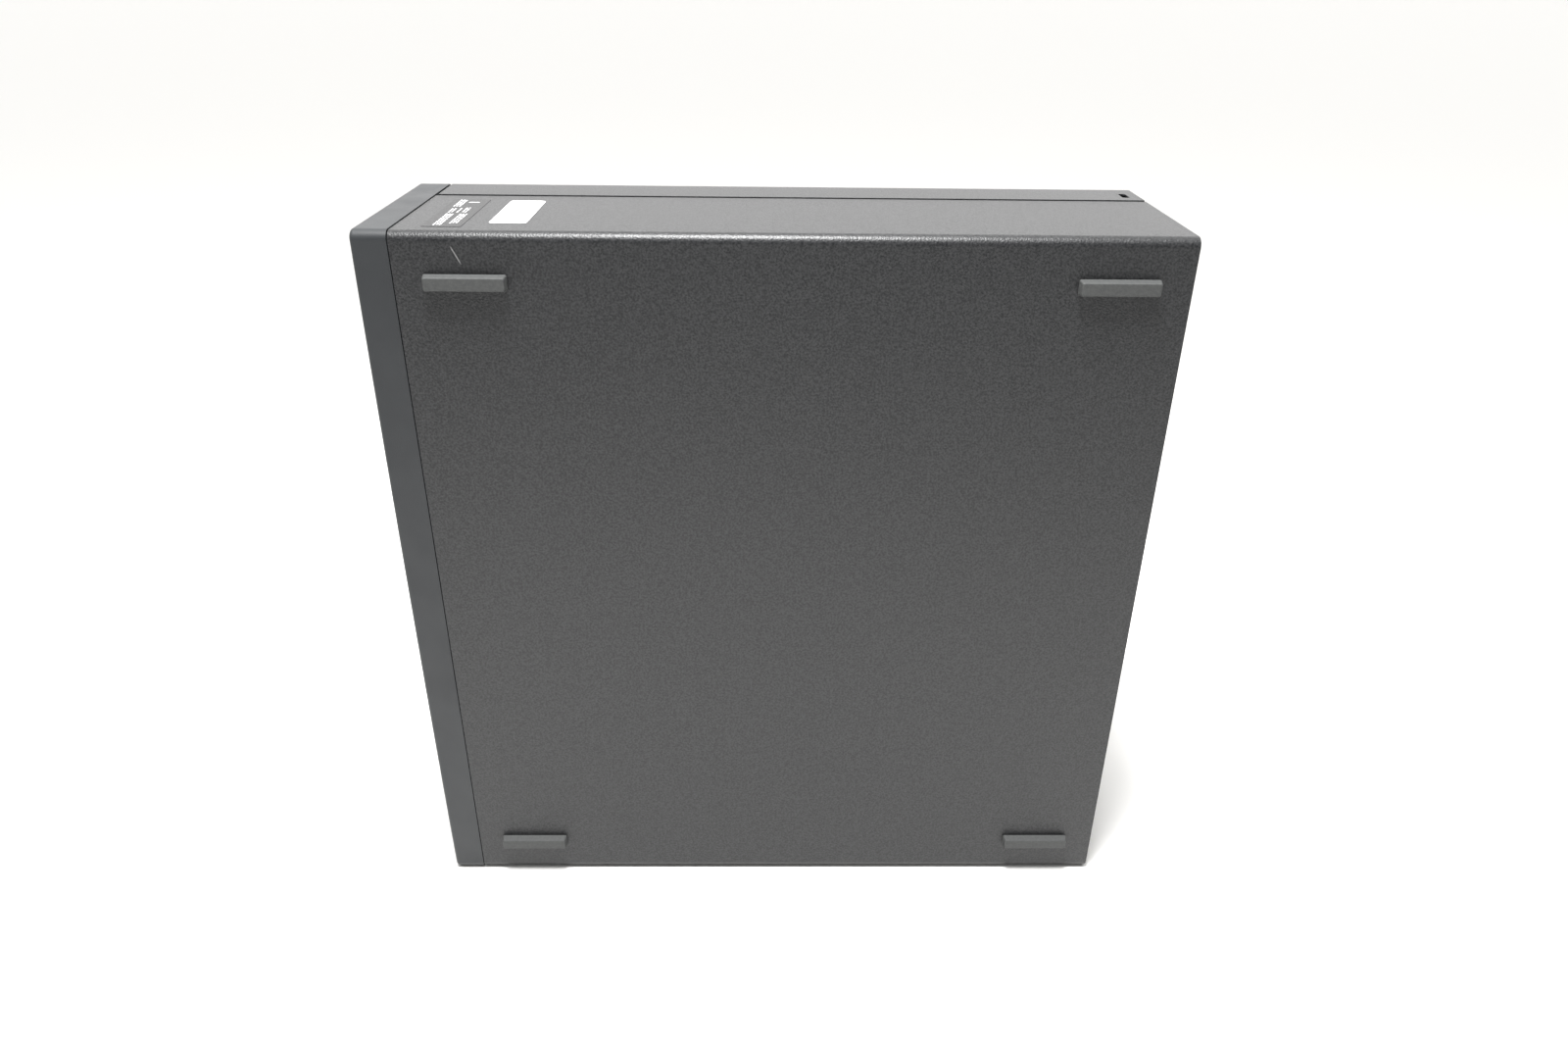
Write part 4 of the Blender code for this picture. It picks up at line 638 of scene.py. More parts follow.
# %% Fold the case
FOLD_R = 3.6 * mm
x_open = X_SEAM + GAP + STEP_W
case = add_block("case_shell", (x_open, Y_CASE, GAP), (X_PAN, Y_REAR, Z_CASE))
pick(case, "FACE", lambda c, n: n.x < -0.9 or n.y < -0.9)
bpy.ops.mesh.delete(type="FACE")
done()
round_off(case, FOLD_R, 12, lambda a, b: along(a, b, "y") and same(a.x, X_PAN))
middle = (0.0, 0.0, Z_TOP / 2)
pick(case, "EDGE", lambda a, b: same(a.x, x_open) and same(b.x, x_open))
bpy.ops.mesh.extrude_edges_move(TRANSFORM_OT_translate={"value": (-STEP_W, 0.0, 0.0)})
bpy.ops.transform.resize(value=(1.0, 1.0, (2 * Z_LEDGE - Z_TOP) / (2 * Z_CASE - Z_TOP)),
                         center_override=middle)
bpy.ops.mesh.extrude_edges_move(
    TRANSFORM_OT_translate={"value": (X_LIP - x_open + STEP_W, 0.0, 0.0)})
bpy.ops.mesh.select_all(action="SELECT")
bpy.ops.mesh.remove_doubles(threshold=0.001 * mm)
bpy.ops.mesh.normals_make_consistent(inside=False)
done()
apply_modifier(case, "SOLIDIFY", thickness=SHEET, offset=-1.0, use_even_offset=True)
print("case sheet:", len(case.data.polygons), "faces")

# %% Openings in the rear wall and the lock's hole in the ledge
shield_low, shield_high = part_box("io_shield")
LOCK_L = 7.6 * mm
LOCK_W = 2.8 * mm
lock_low = Vector((X_COVER + 10.4 * mm, Y_REAR - 4.6 * mm - LOCK_W, Z_TOP - 2.6 * mm))
lock_high = Vector((lock_low.x + LOCK_L, lock_low.y + LOCK_W, Z_TOP + 1 * mm))


def rear_opening(x_low, x_high, z_low, z_high):
    return (x_low, Y_REAR - SHEET - 1 * mm, z_low), (x_high, Y_REAR + 1 * mm, z_high)


openings = [rear_opening(psu_low.x + 4 * mm, X_IN - 5 * mm, psu_low.z + 3 * mm, psu_high.z - 3 * mm),
            rear_opening(shield_low.x + 2 * mm, shield_high.x - 1.4 * mm, shield_low.z + 2 * mm,
                         shield_high.z - 2 * mm)]
for number in (1, 2):
    blank_low, blank_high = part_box(f"slot_blank_{number}")
    z_slot = (blank_low.z + blank_high.z) / 2
    openings.append(rear_opening(blank_low.x + 6 * mm, blank_high.x - 4 * mm, z_slot - 6.5 * mm,
                                 z_slot + 6.5 * mm))
for row in range(8):
    z_vent = psu_high.z + (6.0 + 4.6 * row) * mm
    openings.append(rear_opening(X_LIP + 8 * mm, X_LIP + 42 * mm, z_vent, z_vent + 2.4 * mm))
cut_blocks(case, openings, 1.1 * mm)
rim = Vector((1 * mm, 1 * mm, 0.0))
cut_blocks(case, [(lock_low - rim, lock_high + rim)])
break_edges(case, 0.18 * mm)
smooth_over(case)
hand_over(case, "case_coat", "chassis_pan")

# %% [markdown]
# Two shallow feet are pressed out of the base, and two ears stand off the rear wall to carry the
# card latch.  The feet are blocks whose lower face is drawn in, so they taper as a pressing does.

# %% Pressed feet
feet = []
for y in (Y_CASE + 30 * mm, Y_REAR - 40 * mm):
    foot = add_block("foot", (X_PAN - 26 * mm, y - 12 * mm, 0.0),
                     (X_PAN - 14 * mm, y + 12 * mm, 0.7 * mm))
    round_off(foot, 3 * mm, 5, lambda a, b: along(a, b, "z"))
    draw_in(foot, lambda c, n: n.z < -0.9, (0.9, 0.95, 1.0))
    feet.append(foot)
base_feet = join_pieces(feet, "base_feet")
smooth_over(base_feet)
hand_over(base_feet, "powder_coat")

# %% Ears of the card latch
latch_low, latch_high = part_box("card_latch")
flap_x = latch_high.x - 1.7 * mm
flap_y = Y_REAR + 2.4 * mm
EAR_T = 1.6 * mm
ears = []
for z_low in (latch_low.z, latch_high.z - EAR_T):
    ear = add_block("ear", (flap_x - 2 * mm, Y_REAR - 0.4 * mm, z_low),
                    (flap_x + 2 * mm, flap_y + 2 * mm, z_low + EAR_T))
    round_off(ear, 1.6 * mm, 6, lambda a, b: along(a, b, "z") and a.y > flap_y)
    hole = add_rod("hole", (flap_x, flap_y, z_low), "Z", 1.1 * mm, 8 * mm, 20)
    cut(ear, hole)
    ears.append(ear)
latch_ears = join_pieces(ears, "latch_ears")
break_edges(latch_ears, 0.12 * mm)
smooth_over(latch_ears)
hand_over(latch_ears, "powder_coat")

# %% [markdown]
# ## The cover
#
# The cover is a second sheet, folded to a channel with a tighter bend.  Its flanges wrap over the top
# and the base, and a slot for a security lock goes through the upper one near the rear edge.  A deep
# dish in its face takes a fingertip, and a ribbed slider in the dish works the latch.

# %% Fold the cover
COVER_R = 2.0 * mm
cover = add_block("cover_shell", (X_COVER, cover_low.y, 0.0), (X_SEAM, cover_high.y, Z_TOP))
pick(cover, "FACE", lambda c, n: n.x > 0.9 or abs(n.y) > 0.9)
bpy.ops.mesh.delete(type="FACE")
done()
pick(cover, "EDGE", lambda a, b: along(a, b, "y") and same(a.x, X_COVER))
bpy.ops.mesh.bevel(offset=COVER_R, segments=8)
bpy.ops.mesh.select_all(action="SELECT")
bpy.ops.mesh.normals_make_consistent(inside=False)
done()
outward = sum(face.normal.x * face.area for face in cover.data.polygons)
if outward > 0:
    cover.data.flip_normals()
apply_modifier(cover, "SOLIDIFY", thickness=SHEET, offset=-1.0, use_even_offset=True)
dish_low, dish_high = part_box("latch_dish")
DISH_LIP = 3 * mm - GAP      # the dish's hidden lip reaches this far behind the cover
cut_blocks(cover, [((X_COVER - 1 * mm, dish_low.y + DISH_LIP, dish_low.z + DISH_LIP),
                    (X_COVER + 2 * mm, dish_high.y - DISH_LIP, dish_high.z - DISH_LIP))],
           2.2 * mm, "x")
cut_blocks(cover, [(lock_low, lock_high)], 0.9 * mm, "z")
break_edges(cover, 0.18 * mm)
smooth_over(cover)
hand_over(cover, "powder_coat", "access_cover", body="cover")

# %% [markdown]
# ## The front
#
# The front is an injection moulding: a shallow tray with walls a little over two millimetres thick,
# crowned slightly at mid height.  It starts as a block like the case.  Its upright corners follow the
# bends of the sheet behind it, fifteen cuts across it let its face be bowed row by row, its rim is
# rounded, and the hollow is a Solidify.  The vents, the ports and the drive's mouth are cut last.

# %% Mould the front
BOW = 0.6 * mm
WALL = 2.2 * mm
tray_low, tray_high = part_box("optical_drive")
button_low, button_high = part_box("power_button")
Y_FRONT = button_low.y + 0.2 * mm
X_PORT = (button_low.x + button_high.x) / 2
front = add_block("front_shell", (X_COVER, Y_FRONT, 0.0), (X_PAN, Y_BEZEL, Z_TOP))
round_off(front, FOLD_R, 12, lambda a, b: along(a, b, "y") and same(a.x, X_PAN))
round_off(front, COVER_R, 8, lambda a, b: along(a, b, "y") and same(a.x, X_COVER))
pick(front, "FACE", lambda c, n: n.y > 0.9)
bpy.ops.mesh.delete(type="FACE")
ROWS = 16
slice_across([Z_TOP * row / ROWS for row in range(1, ROWS)], (0.0, 0.0, 1.0))
done()
for row in range(1, ROWS):
    height = 2 * row / ROWS - 1
    pull(front, "VERT", lambda co: co.y < Y_FRONT + mm and same(co.z, Z_TOP * row / ROWS),
         (0.0, -BOW * (1 - height ** 2), 0.0))
apply_modifier(front, "BEVEL", width=1.4 * mm, segments=6, limit_method="ANGLE",
               angle_limit=math.radians(60.0))
apply_modifier(front, "SOLIDIFY", thickness=WALL, offset=-1.0, use_even_offset=True)
print("front wall points:", len(front.data.vertices))

# %% Cut the vents and the ports
RUN = 0.4 * mm               # clearance round what slides in or shows through the front
BUTTON_R = 3 * mm            # corners of the power button
VENT_COUNT = 15
VENT_PITCH = 8.0 * mm
VENT_LOW = 20.0 * mm
VENT_H = 3.4 * mm


def front_window(x_low, x_high, z_low, z_high):
    return (x_low, Y_FRONT - 3 * mm, z_low), (x_high, Y_FRONT + WALL + 1 * mm, z_high)


def front_mouth(low, high):
    """A window round what slides in or shows through the front."""
    return front_window(low.x - RUN, high.x + RUN, low.z - RUN, high.z + RUN)


vents = []
for number in range(VENT_COUNT):
    z = VENT_LOW + number * VENT_PITCH
    vents.append(front_window(X_COVER + 10 * mm, X_PAN - 10 * mm, z - VENT_H / 2, z + VENT_H / 2))
cut_blocks(front, vents, 1.3 * mm)
mouths = [front_mouth(tray_low, tray_high)]
for number in range(1, 5):
    mouths.append(front_mouth(*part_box(f"front_usb_{number}")))
cut_blocks(front, mouths, 0.6 * mm)
cut_blocks(front, [front_mouth(button_low, button_high)], BUTTON_R + RUN)
jack_low, jack_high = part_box("front_audio_jack")
light_low, light_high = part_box("power_light")
z_jack = (jack_low.z + jack_high.z) / 2
z_light = (light_low.z + light_high.z) / 2
JACK_R = 2.9 * mm
LIGHT_R = 1.2 * mm
cut(front, add_rod("hole", (X_PORT, Y_FRONT, z_jack), "Y", JACK_R + RUN, 9 * mm, 36))
cut(front, add_rod("hole", (X_PORT, Y_FRONT, z_light), "Y", LIGHT_R + GAP, 9 * mm, 24))
break_edges(front, 0.22 * mm, 50.0)
smooth_over(front)
hand_over(front, "bezel_plastic", "front_bezel", body="bezel")

# %% [markdown]
# Four tongues behind the front plug into the case, each on a rib from the moulding's wall.

# %% Tongues of the front
TONGUE_T = 3.0 * mm
TONGUE_H = 5.0 * mm
tongues = []
for x in (X_COVER + 7.6 * mm, X_PAN - 7.0 * mm):
    for z in (11.0 * mm, Z_TOP - 9.0 * mm):
        tongue = add_block("tongue", (x - TONGUE_T / 2, Y_BEZEL - 1 * mm, z - TONGUE_H / 2),
                           (x + TONGUE_T / 2, Y_BEZEL + 6 * mm, z + TONGUE_H / 2))
        draw_in(tongue, lambda c, n: n.y > 0.9, (0.6, 1.0, 0.7))
        root = (z - TONGUE_H / 2, Z_TOP - 1 * mm) if z > Z_TOP / 2 else (1 * mm, z + TONGUE_H / 2)
        rib = add_block("rib", (x - TONGUE_T / 2 + 0.3 * mm, Y_BEZEL - 3 * mm, root[0]),
                        (x + TONGUE_T / 2 - 0.3 * mm, Y_BEZEL - 0.3 * mm, root[1]))
        tongues += [tongue, rib]
front_tongues = join_pieces(tongues, "front_tongues")
break_edges(front_tongues, 0.2 * mm)
smooth_over(front_tongues)
hand_over(front_tongues, "bezel_plastic", body="bezel")

# %% [markdown]
# ## Rubber pads
#
# When the computer lies flat it rests on four long rubber pads, two above and two below.  A moulded
# pad leaves its mould because its sides lean in, so the outer face of the block is drawn in, and
# every edge is rounded, the outer ones more.  One pad is modelled, then copied.

# %% Mould one pad and copy it
pad = add_block("pad", pad_low, pad_high)
draw_in(pad, lambda c, n: n.x > 0.9, (1.0, 0.965, 0.80))
round_off(pad, 0.7 * mm, 4, lambda a, b: along(a, b, "x") or abs(a.x - b.x) > 2 * mm)
round_off(pad, 0.45 * mm, 4, lambda a, b: same(a.x, pad_high.x) and same(b.x, pad_high.x))
smooth_over(pad, 45.0)
for number in range(2, 5):
    twin = copy_of(pad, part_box(f"foot_pad_{number}")[0] - pad_low)
    twin.name = f"rubber_pad_{number}"
    hand_over(twin, "pad_rubber", f"foot_pad_{number}")
pad.name = "rubber_pad_1"
hand_over(pad, "pad_rubber", "foot_pad_1")

# %% [markdown]
# ## Labels
#
# Two labels are stuck on the top: a white one with faint print, and a dark one with pale blocks of
# print.  The print here is only bars of different lengths, so it says nothing.  A label is a thin
# block with rounded corners.  Its print is thin bars laid on it, because a row of words seen from
# this far is a bar.  The power supply and the disc drive get a plain label each.


# %% Label stock and print
LABEL_LIFT = 0.02 * mm       # a label's glue
LABEL_TOP = 0.12 * mm        # from what a label lies on to its face
PRINT_T = 0.02 * mm


def make_label(name, low, high, axis, radius, finish):
    """A thin plate with rounded corners, thin along one axis."""
    label = add_block(name, low, high)
    round_off(label, radius, 6, lambda a, b: along(a, b, axis))
    break_edges(label, 0.03 * mm, 60.0, 1)
    smooth_over(label)
    hand_over(label, finish)


def print_rows(name, rows, finish):
    """Thin bars on a label of the top, one for each (x span, y span), joined to one piece."""
    z = Z_CASE + LABEL_TOP
    bars = []
    for x_span, y_span in rows:
        bar = add_block("bar", (x_span[0], y_span[0], z), (x_span[1], y_span[1], z + PRINT_T))
        bars.append(bar)
    hand_over(join_pieces(bars, name), finish)


# %% White label
random.seed(11)
white_x = (X_PAN - 54.8 * mm, X_PAN - 14.4 * mm)
white_y = (pad_low.y + 21.1 * mm, pad_low.y + 34.4 * mm)
make_label("white_label", (white_x[0], white_y[0], Z_CASE + LABEL_LIFT),
           (white_x[1], white_y[1], Z_CASE + LABEL_TOP), "z", 1.6 * mm, "label_white")
rows = []
for row in range(7):
    y = white_y[0] + (1.9 + 1.5 * row) * mm
    x = white_x[0] + 3 * mm
    while x < white_x[1] - 6 * mm:
        length = random.uniform(2.0, 6.0) * mm
        if random.random() < 0.75:
            rows.append(((x, min(x + length, white_x[1] - 3 * mm)), (y, y + 0.55 * mm)))
        x += length + 0.9 * mm
print_rows("white_label_print", rows, "print_grey")

# %% Dark label
dark_x = (X_PAN - 56.6 * mm, X_PAN - 8.2 * mm)
dark_y = (pad_low.y - 0.9 * mm, pad_low.y + 13.0 * mm)
make_label("dark_label", (dark_x[0], dark_y[0], Z_CASE + LABEL_LIFT),
           (dark_x[1], dark_y[1], Z_CASE + LABEL_TOP), "z", 0.8 * mm, "label_dark")
BLOCKS = (                    # how far each block of print is from the label's far front corner, in mm
    (1, 14, 2.7, 5.9), (17, 25, 3.4, 5.8), (17, 25, 6.5, 7.3), (16, 25, 8.4, 10.9),
    (26.5, 46.5, 3.6, 7.2), (27, 43.5, 8.6, 11.9),
)
rows = []
for x_low, x_high, y_low, y_high in BLOCKS:
    y = y_low
    while y < y_high - 0.5:
        x = x_low + random.uniform(0.0, 1.0)
        while x < x_high:
            length = random.uniform(1.0, 4.0)
            rows.append(((dark_x[0] + x * mm, dark_x[0] + min(x + length, x_high) * mm),
                         (dark_y[0] + y * mm, dark_y[0] + (y + 0.62) * mm)))
            x += length + random.uniform(0.5, 1.0)
        y += 1.05
rows.append(((dark_x[0] + 5.4 * mm, dark_x[0] + 6.6 * mm),
             (dark_y[0] + 6.8 * mm, dark_y[0] + 10.8 * mm)))
print_rows("dark_label_print", rows, "print_white")

# %% Plain labels on the power supply and on the disc drive
lid_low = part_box("psu_lid")[0]
drive_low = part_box("optical_drive")[0]
for name, x, y, z, width, height in (
        ("psu_label", lid_low.x, lid_low.y + 30 * mm, lid_low.z + 8 * mm, 95 * mm, 48 * mm),
        ("drive_label", drive_low.x, drive_low.y + 34 * mm, drive_low.z + 30 * mm, 62 * mm, 68 * mm)):
    make_label(name, (x - LABEL_TOP, y, z), (x - LABEL_LIFT, y + width, z + height), "x", 2 * mm,
               "label_white")

# %% [markdown]
# ## Broken edges
#
# Most of the other parts already have their right shape in the frame.  No real edge is razor sharp,
# though: punched steel is rolled over by a tenth of a millimetre, a moulding by a quarter.  Each of
# these parts is copied, its loose triangles are merged and its flat faces dissolved, and a small
# bevel breaks its sharp edges, so that they catch the light.


# %% Copy a part and break its edges
def refine(node, width):
    """A copy of a CAD node with broken edges stands for it."""
    source = frame["nodes"][node]
    piece = bpy.data.objects.new("fine_" + node, source.data.copy())
    bpy.context.scene.collection.objects.link(piece)
    pick(piece, "VERT", lambda co: True)
    bpy.ops.mesh.select_all(action="SELECT")
    bpy.ops.mesh.remove_doubles(threshold=0.002 * mm)
    bpy.ops.mesh.dissolve_limited(angle_limit=math.radians(0.5))
    done()
    if width > 0.0:
        break_edges(piece, width)
    smooth_over(piece)
    hand_over(piece, finish_of[node], node, body=source["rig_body"])


EDGES = {
    0.10 * mm: "rear_usb_1 rear_usb_2",
    0.12 * mm: "drive_cage psu_lid slot_blank_1 slot_blank_2 io_shield padlock_loop card_latch "
               "optical_drive memory_module_1 memory_module_2 front_io_board",
    0.18 * mm: "chassis_front psu_housing front_usb_1 front_usb_2 front_usb_3 front_usb_4 "
               "network_socket display_socket_1 display_socket_2 eject_button "
               "memory_slot_1 memory_slot_2 card_slot_1 card_slot_2 memory_latch_1 memory_latch_2 "
               "motherboard psu_board heatsink",
    0.30 * mm: "optical_tray latch_dish cover_latch power_inlet rear_audio_jack front_audio_jack "
               "speaker disk_caddy cpu_fan_frame psu_fan_frame coin_cell cpu_socket power_light",
    0.60 * mm: "hard_disk",
    0.0: "power_harness disk_cable fan_cable front_io_cable",
}
for width, names in EDGES.items():
    for name in names.split():
        refine(name, width)

# %% [markdown]
# ## Power button
#
# The power button is a square key with a shallow dish for the fingertip.  The face of a rounded
# block is inset twice, then pushed in and drawn together in two steps.

# %% Shape the power button
button = add_block("power_key", button_low, button_high)
round_off(button, BUTTON_R, 8, lambda a, b: along(a, b, "y"))
pick(button, "FACE", lambda c, n: n.y < -0.9)
bpy.ops.mesh.inset(thickness=0.5 * mm)
bpy.ops.transform.translate(value=(0.0, -0.1 * mm, 0.0))
bpy.ops.mesh.inset(thickness=1.2 * mm)
for depth, share in ((0.30 * mm, 0.80), (0.15 * mm, 0.60)):
    bpy.ops.mesh.extrude_region_move(TRANSFORM_OT_translate={"value": (0.0, depth, 0.0)})
    bpy.ops.transform.resize(value=(share, 1.0, share))
done()
smooth_over(button, 40.0)
hand_over(button, "button_plastic", "power_button", body="button")

# %% [markdown]
# ## Inside the sockets
#
# A socket is an empty metal shell in the frame.  The real one holds a moulded tongue with gilded
# contacts on it, eight spring wires in the network socket, and two small lamps beside that.


# %% Tongues and contacts
CONTACT_INSET = 1.6 * mm     # the contacts stop short of the tongue's tip


def make_tongue(name, low, high, towards, contacts):
    """A plastic tongue between two corners, with contacts on its +X face; towards is -1 or 1 in Y."""
    tongue = add_block(name, low, high)
    tip = low[1] if towards < 0 else high[1]
    draw_in(tongue, lambda c, n: same(c.y, tip), (0.55, 1.0, 0.94))
    break_edges(tongue, 0.1 * mm)
    smooth_over(tongue)
    hand_over(tongue, "connector_plastic")
    strips = []
    pitch = (high[2] - low[2]) / (contacts + 0.5)
    for number in range(contacts):
        z = (low[2] + high[2]) / 2 + (number - (contacts - 1) / 2) * pitch
        start = low[1] + CONTACT_INSET if towards < 0 else low[1]
        end = high[1] if towards < 0 else high[1] - CONTACT_INSET
        strip = add_block("strip", (high[0] - 0.1 * mm, start, z - 0.28 * pitch),
                          (high[0] + 0.12 * mm, end, z + 0.28 * pitch))
        round_off(strip, 0.08 * mm, 1, lambda a, b: along(a, b, "z") and a.x > high[0])
        strips.append(strip)
    contact_set = join_pieces(strips, name + "_contacts")
    hand_over(contact_set, "gold_contact")


POCKET = 11.0 * mm
for number in range(1, 5):
    low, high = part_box(f"front_usb_{number}")
    middle = (low.z + high.z) / 2
    make_tongue(f"front_usb_tongue_{number}", (low.x + 1.3 * mm, low.y + 1.2 * mm, middle - 5.4 * mm),
                (low.x + 3.1 * mm, low.y + POCKET, middle + 5.4 * mm), -1, 4)
for number in (1, 2):
    low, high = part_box(f"rear_usb_{number}")
    middle = (low.z + high.z) / 2
    for level, offset in (("outer", 1.6 * mm), ("inner", 9.5 * mm)):
        make_tongue(f"rear_usb_tongue_{number}_{level}",
                    (low.x + offset, high.y - POCKET, middle - 5.8 * mm),
                    (low.x + offset + 1.8 * mm, high.y - 1.2 * mm, middle + 5.8 * mm), 1, 4)
    low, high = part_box(f"display_socket_{number}")
    middle = (low.z + high.z) / 2
    make_tongue(f"display_tongue_{number}", (low.x + 2.8 * mm, high.y - POCKET, middle - 6.6 * mm),
                (low.x + 4.4 * mm, high.y - 1.6 * mm, middle + 6.6 * mm), 1, 10)

# %% Network socket
low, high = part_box("network_socket")
wires = []
for number in range(8):
    z = (low.z + high.z) / 2 + (number - 3.5) * 1.02 * mm
    wire = add_block("wire", (low.x + 2.3 * mm, high.y - 9 * mm, z - 0.22 * mm),
                     (low.x + 2.6 * mm, high.y - 2.2 * mm, z + 0.22 * mm))
    pull(wire, "FACE", lambda c, n: n.y < -0.9, (3.0 * mm, 0.0, 0.0))
    wires.append(wire)
hand_over(join_pieces(wires, "network_wires"), "gold_contact")
for colour, z in (("green", low.z + 1.9 * mm), ("amber", high.z - 1.9 * mm)):
    window = add_block(f"network_lamp_{colour}", (high.x - 1.8 * mm, high.y - 1 * mm, z - 1.3 * mm),
                       (high.x - 0.5 * mm, high.y + 0.15 * mm, z + 1.3 * mm))
    break_edges(window, 0.12 * mm)
    smooth_over(window)
    hand_over(window, f"lamp_{colour}")

# %% [markdown]
# ## Screws and standoffs
#
# The board stands on six hexagonal standoffs and is held by six pan-head screws with a cross recess.
# One of each is modelled at the origin and copied to every hole of the board.


# %% One screw and one standoff, six of each
def copy_to(piece, name, places):
    """Copies of a piece at several places, joined to one; the piece itself is thrown away."""
    twins = [copy_of(piece, place) for place in places]
    bpy.data.objects.remove(piece)
    return join_pieces(twins, name)


SCREW_R = 2.9 * mm
SCREW_H = 1.8 * mm
screw = add_rod("screw", (-SCREW_H / 2, 0.0, 0.0), "X", SCREW_R, SCREW_H, 28)
round_off(screw, 1.0 * mm, 5, lambda a, b: same(a.x, -SCREW_H) and same(b.x, -SCREW_H))
for half_y, half_z in ((1.7 * mm, 0.35 * mm), (0.35 * mm, 1.7 * mm)):
    cut_blocks(screw, [((-3 * mm, -half_y, -half_z), (-0.9 * mm, half_y, half_z))])
STANDOFF_R = 3.3 * mm
standoff = add_rod("standoff", (0.0, 0.0, 0.0), "X", STANDOFF_R, X_IN - board_high.x - 0.2 * mm, 6)
break_edges(standoff, 0.25 * mm)
BOARD_T = 1.6 * mm
board_top = board_high.x - BOARD_T
holes = [(y, z) for y in (board_low.y + 6 * mm, (board_low.y + board_high.y) / 2,
                          board_high.y - 6 * mm)
         for z in (board_low.z + 6 * mm, board_high.z - 6 * mm)]
for part, x, name in ((screw, board_top, "board_screws"),
                      (standoff, (X_IN + board_high.x) / 2, "board_standoffs")):
    fixings = copy_to(part, name, [(x, y, z) for y, z in holes])
    smooth_over(fixings)
    hand_over(fixings, "zinc_steel")

# %% [markdown]
# ## Small parts on the board
#
# The frame's board carries only what is large.  A real one is crowded, and in a pattern: coils and
# capacitors stand in a row beside the processor that they feed, a finned heat sink covers the bridge
# chip, and flat chips have dozens of tiny parts round them.  One of each is modelled at the origin
# and copied.  The tiny ones are thrown at random and kept only where nothing else stands.

# %% What stands on the board already
STANDING = ("heatsink memory_slot_1 memory_slot_2 memory_latch_1 memory_latch_2 card_slot_1 "
            "card_slot_2 coin_cell rear_usb_1 rear_usb_2 network_socket rear_audio_jack "
            "display_socket_1 display_socket_2")
taken = [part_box(node) for node in STANDING.split()]
board = frame["nodes"]["motherboard"]
header_points = [board.matrix_world @ vert.co for vert in board.data.vertices]
header_points = [point for point in header_points if point.x < board_top - mm]


def take(y, z, reach):
    """True if a spot on the board is free within reach; the spot is taken from then on."""
    if not board_low.y + 8 * mm < y < board_high.y - 8 * mm:
        return False
    if not board_low.z + 10 * mm < z < board_high.z - 10 * mm:
        return False
    for low, high in taken:
        if low.y - reach < y < high.y + reach and low.z - reach < z < high.z + reach:
            return False
    if any(math.hypot(point.y - y, point.z - z) < 9 * mm for point in header_points):
        return False
    taken.append((Vector((0.0, y - reach, z - reach)), Vector((0.0, y + reach, z + reach))))
    return True


sink_low, sink_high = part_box("heatsink")
coil_y = sink_high.y + 6 * mm
coil_spots = [(coil_y, sink_low.z + (14 + 17 * number) * mm) for number in range(4)]
can_spots = [(coil_y + 8 * mm, z + 8 * mm) for y, z in coil_spots]
bridge_spots = [(board_low.y + 138 * mm, board_low.z + 130 * mm)]
chip_spots = [(board_low.y + y * mm, board_low.z + z * mm)
              for y, z in ((14, 116), (68, 178), (66, 140), (172, 150))]
for spots, reach in ((coil_spots, 4.4 * mm), (can_spots, 3.4 * mm), (bridge_spots, 17 * mm),
                     (chip_spots, 8.5 * mm)):
    spots[:] = [(board_top, y, z) for y, z in spots if take(y, z, reach)]
print("coils:", len(coil_spots), "capacitors:", len(can_spots), "chips:", len(chip_spots))

# %% Coils and capacitors
coil = add_block("coil", (-4.6 * mm, -3.6 * mm, -3.6 * mm), (-0.2 * mm, 3.6 * mm, 3.6 * mm))
break_edges(coil, 0.6 * mm, 35.0, 3)
smooth_over(coil)
hand_over(copy_to(coil, "board_coils", coil_spots), "cable_grey")
can = add_rod("can", (-5.0 * mm, 0.0, 0.0), "X", 3.0 * mm, 9.0 * mm, 32)
round_off(can, 0.6 * mm, 4, lambda a, b: a.x < -9 * mm and b.x < -9 * mm)
pick(can, "FACE", lambda c, n: n.x < -0.99)
bpy.ops.mesh.inset(thickness=0.3 * mm)
bpy.ops.transform.translate(value=(0.15 * mm, 0.0, 0.0))
done()
smooth_over(can)
hand_over(copy_to(can, "board_capacitors", can_spots), "cell_steel")

# %% Heat sink of the bridge chip
fins = add_block("fins", (-9 * mm, -15 * mm, -15 * mm), (-1 * mm, 15 * mm, 15 * mm))
grooves = [((-10 * mm, (-13.2 + 4.1 * number) * mm, -16 * mm),
            (-3.2 * mm, (-11.0 + 4.1 * number) * mm, 16 * mm)) for number in range(7)]
cut_blocks(fins, grooves)
break_edges(fins, 0.2 * mm)
smooth_over(fins)
under = add_block("under", (-1.2 * mm, -9 * mm, -9 * mm), (0.0, 9 * mm, 9 * mm))
hand_over(copy_to(fins, "bridge_heat_sink", bridge_spots), "cast_aluminium")
hand_over(copy_to(under, "bridge_chip", bridge_spots), "connector_plastic")

# %% Flat chips with their legs
chip = add_block("chip", (-1.7 * mm, -5 * mm, -5 * mm), (-0.3 * mm, 5 * mm, 5 * mm))
break_edges(chip, 0.25 * mm)
cut(chip, add_rod("dot", (-1.7 * mm, -3.6 * mm, 3.6 * mm), "X", 0.6 * mm, 0.3 * mm, 20))
smooth_over(chip)
legs = []
for side in (-1, 1):
    for number in range(10):
        z = (number - 4.5) * 0.9 * mm
        leg = add_block("leg", (-0.9 * mm, min(side * 4.8, side * 6.4) * mm, z - 0.2 * mm),
                        (-0.6 * mm, max(side * 4.8, side * 6.4) * mm, z + 0.2 * mm))
        pull(leg, "VERT", lambda co: abs(co.y) > 6 * mm, (0.6 * mm, 0.0, 0.0))
        legs.append(leg)
hand_over(copy_to(chip, "board_chips", chip_spots), "connector_plastic")
hand_over(copy_to(join_pieces(legs, "legs"), "chip_legs", chip_spots), "port_shell")

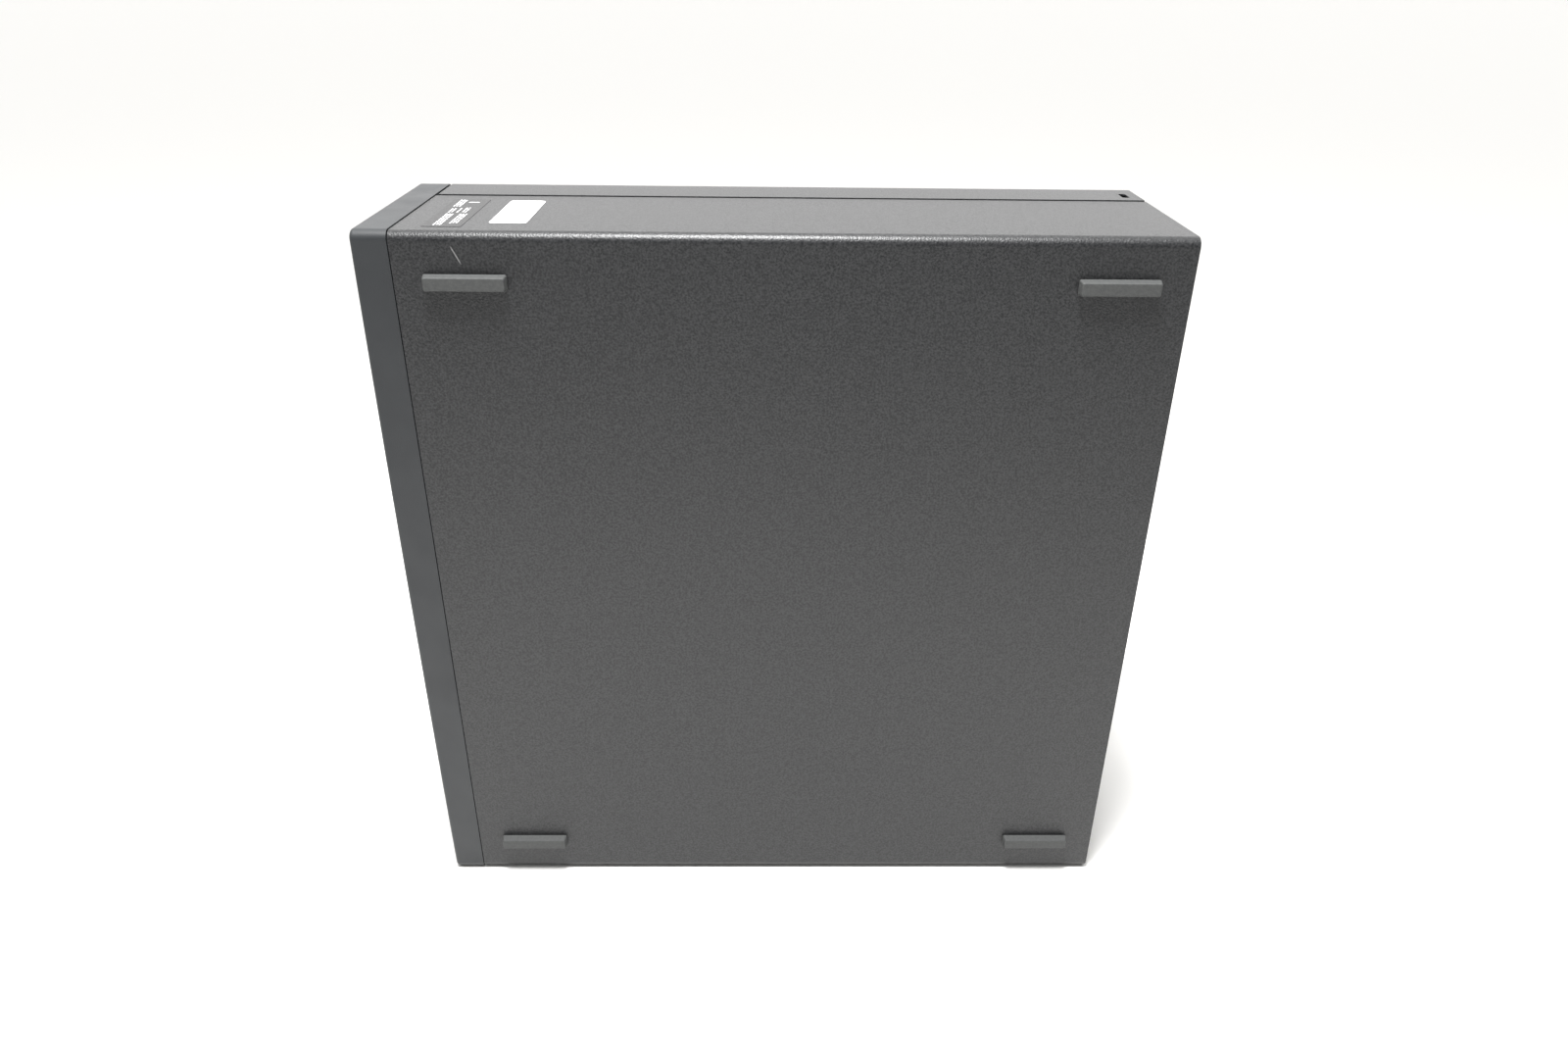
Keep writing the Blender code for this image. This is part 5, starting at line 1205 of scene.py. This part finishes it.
# %% Tiny parts thrown on the board
tiny_spots = []
while len(tiny_spots) < 150:
    y = random.uniform(board_low.y, board_high.y)
    z = random.uniform(board_low.z, board_high.z)
    if take(y, z, 1.6 * mm):
        tiny_spots.append((board_top, y, z))
tiny = add_block("tiny", (-0.6 * mm, -0.9 * mm, -0.45 * mm), (0.0, 0.9 * mm, 0.45 * mm))
caps = []
for side in (-1, 1):
    caps.append(add_block("cap", (-0.65 * mm, min(side * 0.6, side * 1.0) * mm, -0.5 * mm),
                          (0.0, max(side * 0.6, side * 1.0) * mm, 0.5 * mm)))
hand_over(copy_to(tiny, "tiny_parts", tiny_spots), "connector_plastic")
hand_over(copy_to(join_pieces(caps, "caps"), "tiny_part_ends", tiny_spots), "port_shell")

# %% [markdown]
# ## Fan rotors
#
# A fan blade is a thin plate twisted round the axle, thin at its tip.  It starts as a flat block that
# is drawn in at the tip, cut into rows, and twisted by a Simple Deform; seven of them go round a
# hub with a rounded rim.  The rotor is modelled upright at the origin, then turned to its axle.


# %% Model a rotor
BLADES = 7
BLADE_T = 1.1 * mm
BLADE_SPAN = 0.8             # share of the rotor's depth
BLADE_TWIST = math.radians(34.0)


def make_rotor(node, body, axis, hub_r):
    """A hub with a ring of twisted blades, turned to its axle."""
    low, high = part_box(node)
    depth = min(high - low)
    tip = max(high - low) / 2 - 0.3 * mm
    top = depth / 2
    hub = add_rod("hub", (0.0, 0.0, 0.0), "Z", hub_r, depth, 56)
    round_off(hub, 1.0 * mm, 5, lambda a, b: abs(a.z) > 0.99 * top and same(a.z, b.z))
    pick(hub, "FACE", lambda c, n: abs(n.z) > 0.99)
    bpy.ops.mesh.inset(thickness=2.0 * mm, use_individual=True)
    bpy.ops.mesh.inset(thickness=0.3 * mm, depth=-0.3 * mm, use_individual=True)
    done()
    pieces = [hub]
    for number in range(BLADES):
        blade = add_block("blade", (hub_r - 1.2 * mm, -BLADE_T / 2, -BLADE_SPAN * depth / 2),
                          (tip, BLADE_T / 2, BLADE_SPAN * depth / 2))
        pick(blade, "FACE", lambda c, n: n.x > 0.9)
        bpy.ops.transform.resize(value=(1.0, 0.5, 0.86))
        slice_across([(row / 8 - 0.5) * BLADE_SPAN * depth for row in range(1, 8)],
                     (0.0, 0.0, 1.0))
        slice_across([hub_r + (tip - hub_r) * row / 4 for row in range(1, 4)], (1.0, 0.0, 0.0))
        done()
        apply_modifier(blade, "SIMPLE_DEFORM", deform_method="TWIST", deform_axis="Z",
                       angle=BLADE_TWIST)
        blade.data.transform(Matrix.Rotation(2 * math.pi * number / BLADES, 4, "Z"))
        pieces.append(blade)
    rotor = join_pieces(pieces, "turning_" + node)
    turn = {"X": Matrix.Rotation(math.pi / 2, 4, "Y"), "Y": Matrix.Rotation(-math.pi / 2, 4, "X")}
    rotor.data.transform(Matrix.Translation((low + high) / 2) @ turn[axis])
    smooth_over(rotor, 40.0)
    hand_over(rotor, "fan_plastic", node, body=body)


make_rotor("cpu_fan_rotor", "cpu_fan", "X", 14.0 * mm)
make_rotor("psu_fan_rotor", "psu_fan", "Y", 11.0 * mm)

# %% Measure and finish
low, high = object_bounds()
print("visual model in mm:", [round(side / mm, 1) for side in high - low])
